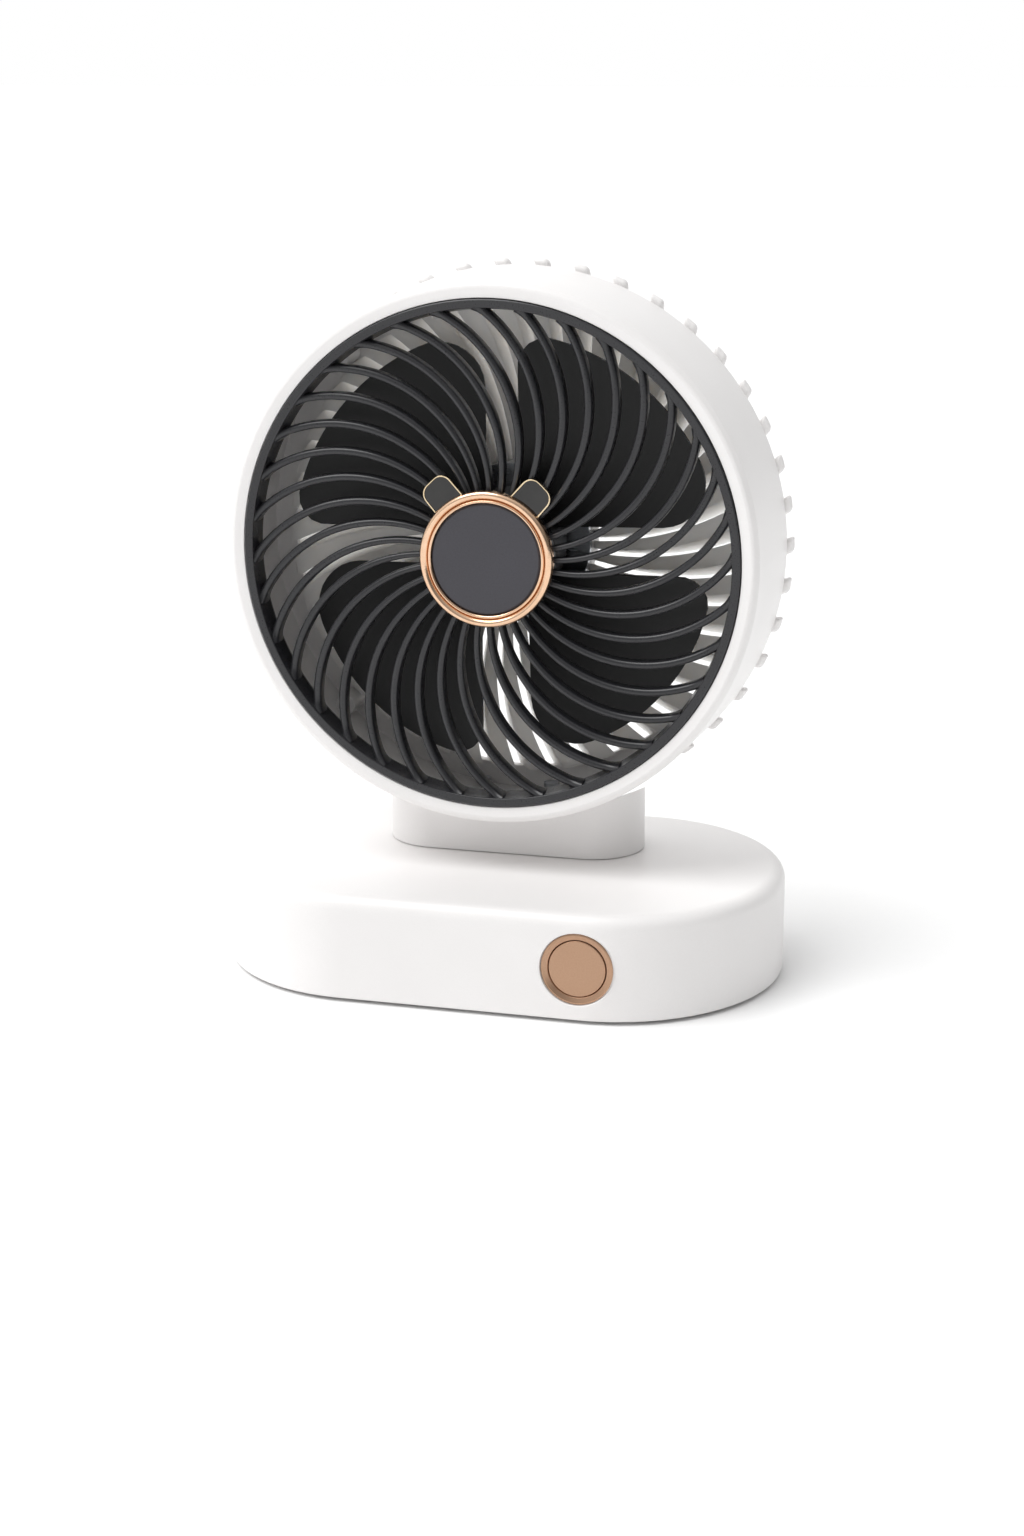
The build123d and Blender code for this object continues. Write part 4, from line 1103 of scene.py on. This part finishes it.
@dataclass
class Fan:
    """The four-bladed fan and the shaft that it turns on."""

    wardrobe: Wardrobe
    blade_count: int = 4
    first_angle: float = 44.0
    tip: float = 70.9
    root: float = 16.0
    hub_radius: float = 19.0
    hub_wall: float = 1.55
    shaft_bore: float = 1.505
    collar_radius: float = 5.2
    collar_front: float = -5.5
    web_back: float = -3.5
    gap: float = 14.0
    leading_corner: float = 9.0
    trailing_corner: float = 15.0
    lean_depth: float = 6.5
    cup_depth: float = 0.9
    thickness: float = 1.5
    rows: int = 28
    columns: int = 36
    corner_steps: int = 12
    tip_steps: int = 8

    def outline(self) -> tuple[list[Point], list[Point]]:
        """The two side edges of a blade whose middle points up, from the root to the middle of the tip.

        Returns:
            The leading (left) and the trailing (right) edge, each of as many points as the blade has rows.
        """
        half_pitch = pi / self.blade_count
        shift = self.gap / 2
        edges = []
        for side, corner in ((-1, self.leading_corner), (1, self.trailing_corner)):
            along = Vector((side * sin(half_pitch), cos(half_pitch)))
            inward = Vector((-side * cos(half_pitch), sin(half_pitch)))
            root = along * self.root + inward * shift
            # the corner's circle touches the side edge and the tip's circle from inside
            reach = ((self.tip - corner) ** 2 - (shift + corner) ** 2) ** 0.5
            middle = along * reach + inward * (shift + corner)
            start = atan2(-inward.y, -inward.x)
            end = atan2(middle.y, middle.x)
            turn = (end - start + pi) % (2 * pi) - pi
            path = [root, along * reach + inward * shift]
            turns = [start + turn * step / self.corner_steps for step in range(1, self.corner_steps + 1)]
            path += [middle + corner * Vector((cos(angle), sin(angle))) for angle in turns]
            turns = [end + (pi / 2 - end) * step / self.tip_steps for step in range(1, self.tip_steps + 1)]
            path += [self.tip * Vector((cos(angle), sin(angle))) for angle in turns]
            edges.append(self.resampled(path))
        return edges[0], edges[1]

    def resampled(self, path: Sequence[Vector]) -> list[Point]:
        """Points at even steps along a path, one for each row of the blade."""
        lengths = [0.0]
        for first, second in zip(path, path[1:]):
            lengths.append(lengths[-1] + (second - first).length)
        points = []
        for row in range(self.rows + 1):
            wanted = lengths[-1] * row / self.rows
            index = next((i for i in range(1, len(path)) if lengths[i] >= wanted - 1e-9), len(path) - 1)
            share = (wanted - lengths[index - 1]) / (lengths[index] - lengths[index - 1])
            point = path[index - 1].lerp(path[index], share)
            points.append((point.x, point.y))
        return points

    def blade(self, middle: float) -> bpy.types.Object:
        """Make one blade: straight sides, unequal round tip corners, and a slant from edge to edge.

        Args:
            middle: the clockwise angle of its middle, in degrees.

        Returns:
            The blade, as a closed shell.
        """
        centre = Span.of("fan_blades").middle.y
        leading, trailing = self.outline()
        points = []
        for (left, left_up), (right, right_up) in zip(leading, trailing):
            for column in range(self.columns + 1):
                share = column / self.columns
                across = left + (right - left) * share
                up = left_up + (right_up - left_up) * share
                half_chord = max(hypot(across, up) * sin(pi / self.blade_count), 1.0)
                slant = max(-1.0, min(1.0, across / half_chord))
                depth = centre + self.lean_depth * slant - self.cup_depth * (1 - slant * slant)
                turned = radians(middle)
                points.append((across * cos(turned) + up * sin(turned), depth,
                               AXIS_HEIGHT + up * cos(turned) - across * sin(turned)))
        row = self.columns + 1
        faces = [(o * row + a, o * row + a + 1, (o + 1) * row + a + 1, (o + 1) * row + a)
                 for o in range(self.rows) for a in range(self.columns)]
        sheet = solid("blade_sheet", points, faces)
        wall = sheet.modifiers.new("wall", "SOLIDIFY")
        wall.thickness = self.thickness * MM
        wall.offset = 0.0
        settle(sheet)
        soften(sheet, 0.5, 3, 50.0)
        return sheet

    def build(self) -> None:
        """Make and dress the fan and the motor's turning parts."""
        box = Span.of("fan_blades")
        blades = [self.blade(self.first_angle + index * 360 / self.blade_count)
                  for index in range(self.blade_count)]
        bore = self.hub_radius - self.hub_wall
        hub = lathe("fan_hub", rounded([
            (self.shaft_bore, self.collar_front), (self.collar_radius, self.collar_front),
            (self.collar_radius, box.low.y + 0.9), (self.hub_radius, box.low.y),
            (self.hub_radius, box.high.y), (bore, box.high.y), (bore, self.web_back),
            (self.shaft_bore, self.web_back)], [0, 0.2, 0.3, 1.8, 0.3, 0.3, 0.4, 0]), 160)
        fan = joined("fan_rotor", blades + [hub])
        even_shading(fan)
        self.wardrobe.dress(fan, BLACK_ABS, "black_blades", "fan", "fan_blades")
        self.wardrobe.repaint(TURNED_STEEL, "motor_shaft", "rotor_cup", "spinner_nut")
        self.wardrobe.repaint(LAMINATIONS, "rotor_magnet")


@dataclass
class Motor:
    """The standing parts of the motor, all inside the back cover's cup."""

    wardrobe: Wardrobe

    def build(self) -> None:
        """Dress the motor."""
        repaint = self.wardrobe.repaint
        repaint(ZINC_STEEL, "motor_mount", "motor_screws")
        repaint(TURNED_STEEL, "ball_bearings")
        repaint(TURNED_BRASS, "bearing_tube")
        repaint(LAMINATIONS, "stator_core")
        repaint(ENAMELLED_COPPER, "stator_coils")
        repaint(GREEN_BOARD, "motor_board")


# ------------------------------------------------------------------ studio
@dataclass
class Studio:
    """A pale floor, soft light from the upper left, and the camera."""

    turn: float = 15.0
    rise: float = 15.2
    distance: float = 0.873
    aim: tuple[float, float, float] = (0.0025, 0.0, 0.066)
    lens: float = 60.94
    sensor: float = 36.0
    view_end: float = 100.0
    floor_size: float = 60.0
    sun_side: tuple[float, float, float] = (-0.38, -0.30, 0.85)
    sun_power: float = 1.6
    sun_spread: float = 40.0
    bright_side: tuple[float, float, float] = (-0.60, 0.40, 0.55)
    bright: float = 1.10
    dim: float = 0.04

    def camera(self) -> None:
        """Set the camera."""
        lens = bpy.data.cameras.new("camera")
        lens.lens = self.lens
        lens.sensor_width = self.sensor
        lens.clip_end = self.view_end
        eye = placed_object("camera", lens)
        azimuth = radians(self.turn)
        height = radians(self.rise)
        back = Vector((sin(azimuth) * cos(height), -cos(azimuth) * cos(height), sin(height)))
        eye.location = Vector(self.aim) + back * self.distance
        eye.rotation_euler = (-back).to_track_quat("-Z", "Y").to_euler()
        bpy.context.scene.camera = eye

    def floor(self) -> None:
        """Lay the floor, a pale matt sheet with a faint mottle."""
        mesh = bpy.data.meshes.new("floor")
        half = self.floor_size / 2
        mesh.from_pydata([(-half, -half, 0), (half, -half, 0), (half, half, 0), (-half, half, 0)], [],
                         [(0, 1, 2, 3)])
        sheet = placed_object("floor", mesh)
        paper = Finish("white_card", "#fdfdfd", "#fbfbfb", 0.9, 0.02, grain=4.0, relief=0.0, drift=200.0)
        sheet.data.materials.append(paper.material())

    def sun(self) -> None:
        """Add the broad soft light from the upper left, the same everywhere on the floor."""
        lamp = bpy.data.lights.new("window", "SUN")
        lamp.energy = self.sun_power
        lamp.angle = radians(self.sun_spread)
        light = placed_object("window", lamp)
        light.rotation_euler = Vector(self.sun_side).to_track_quat("Z", "Y").to_euler()

    def sky(self) -> None:
        """Set the surroundings: white as a backdrop, and as a light brighter at the upper left."""
        world = bpy.data.worlds.new("surroundings")
        bpy.context.scene.world = world
        world.use_nodes = True
        tree = world.node_tree
        tree.nodes.clear()
        direction = put(tree, "ShaderNodeTexCoord").outputs["Generated"]
        facing = put(tree, "ShaderNodeVectorMath", {0: direction, 1: Vector(self.bright_side).normalized()},
                     operation="DOT_PRODUCT").outputs["Value"]
        level = put(tree, "ShaderNodeMapRange", {"Value": facing, "From Min": -0.8, "From Max": 0.9,
                                                 "To Min": self.dim, "To Max": self.bright})
        light = put(tree, "ShaderNodeBackground", {"Color": linear("#ffffff"),
                                                   "Strength": level.outputs["Result"]})
        backdrop = put(tree, "ShaderNodeBackground", {"Color": linear("#ffffff"), "Strength": 1.0})
        seen = put(tree, "ShaderNodeLightPath").outputs["Is Camera Ray"]
        both = put(tree, "ShaderNodeMixShader", {0: seen, 1: light.outputs[0], 2: backdrop.outputs[0]})
        put(tree, "ShaderNodeOutputWorld", {"Surface": both.outputs[0]})

    def build(self) -> None:
        """Set up the camera, the floor and the light."""
        self.camera()
        self.floor()
        self.sky()
        self.sun()
        bpy.context.scene.view_settings.view_transform = "Standard"


def main() -> None:
    """Build the studio and every sub-assembly, in order."""
    logging.basicConfig(level=logging.INFO, format="%(message)s")
    wardrobe = Wardrobe()
    vanes = Vanes()
    pieces = [
        Studio(),
        Base(wardrobe, PlacedCopies()),
        PowerButton(wardrobe),
        Neck(wardrobe),
        Drum(wardrobe),
        RearCover(wardrobe, vanes, RoundCopies()),
        Motor(wardrobe),
        Fan(wardrobe),
        FrontGrille(wardrobe, SweptRibs()),
        HubBadge(wardrobe),
    ]
    for piece in pieces:
        piece.build()
        log.info("built %s", type(piece).__name__)


if __name__ == "__main__":
    main()
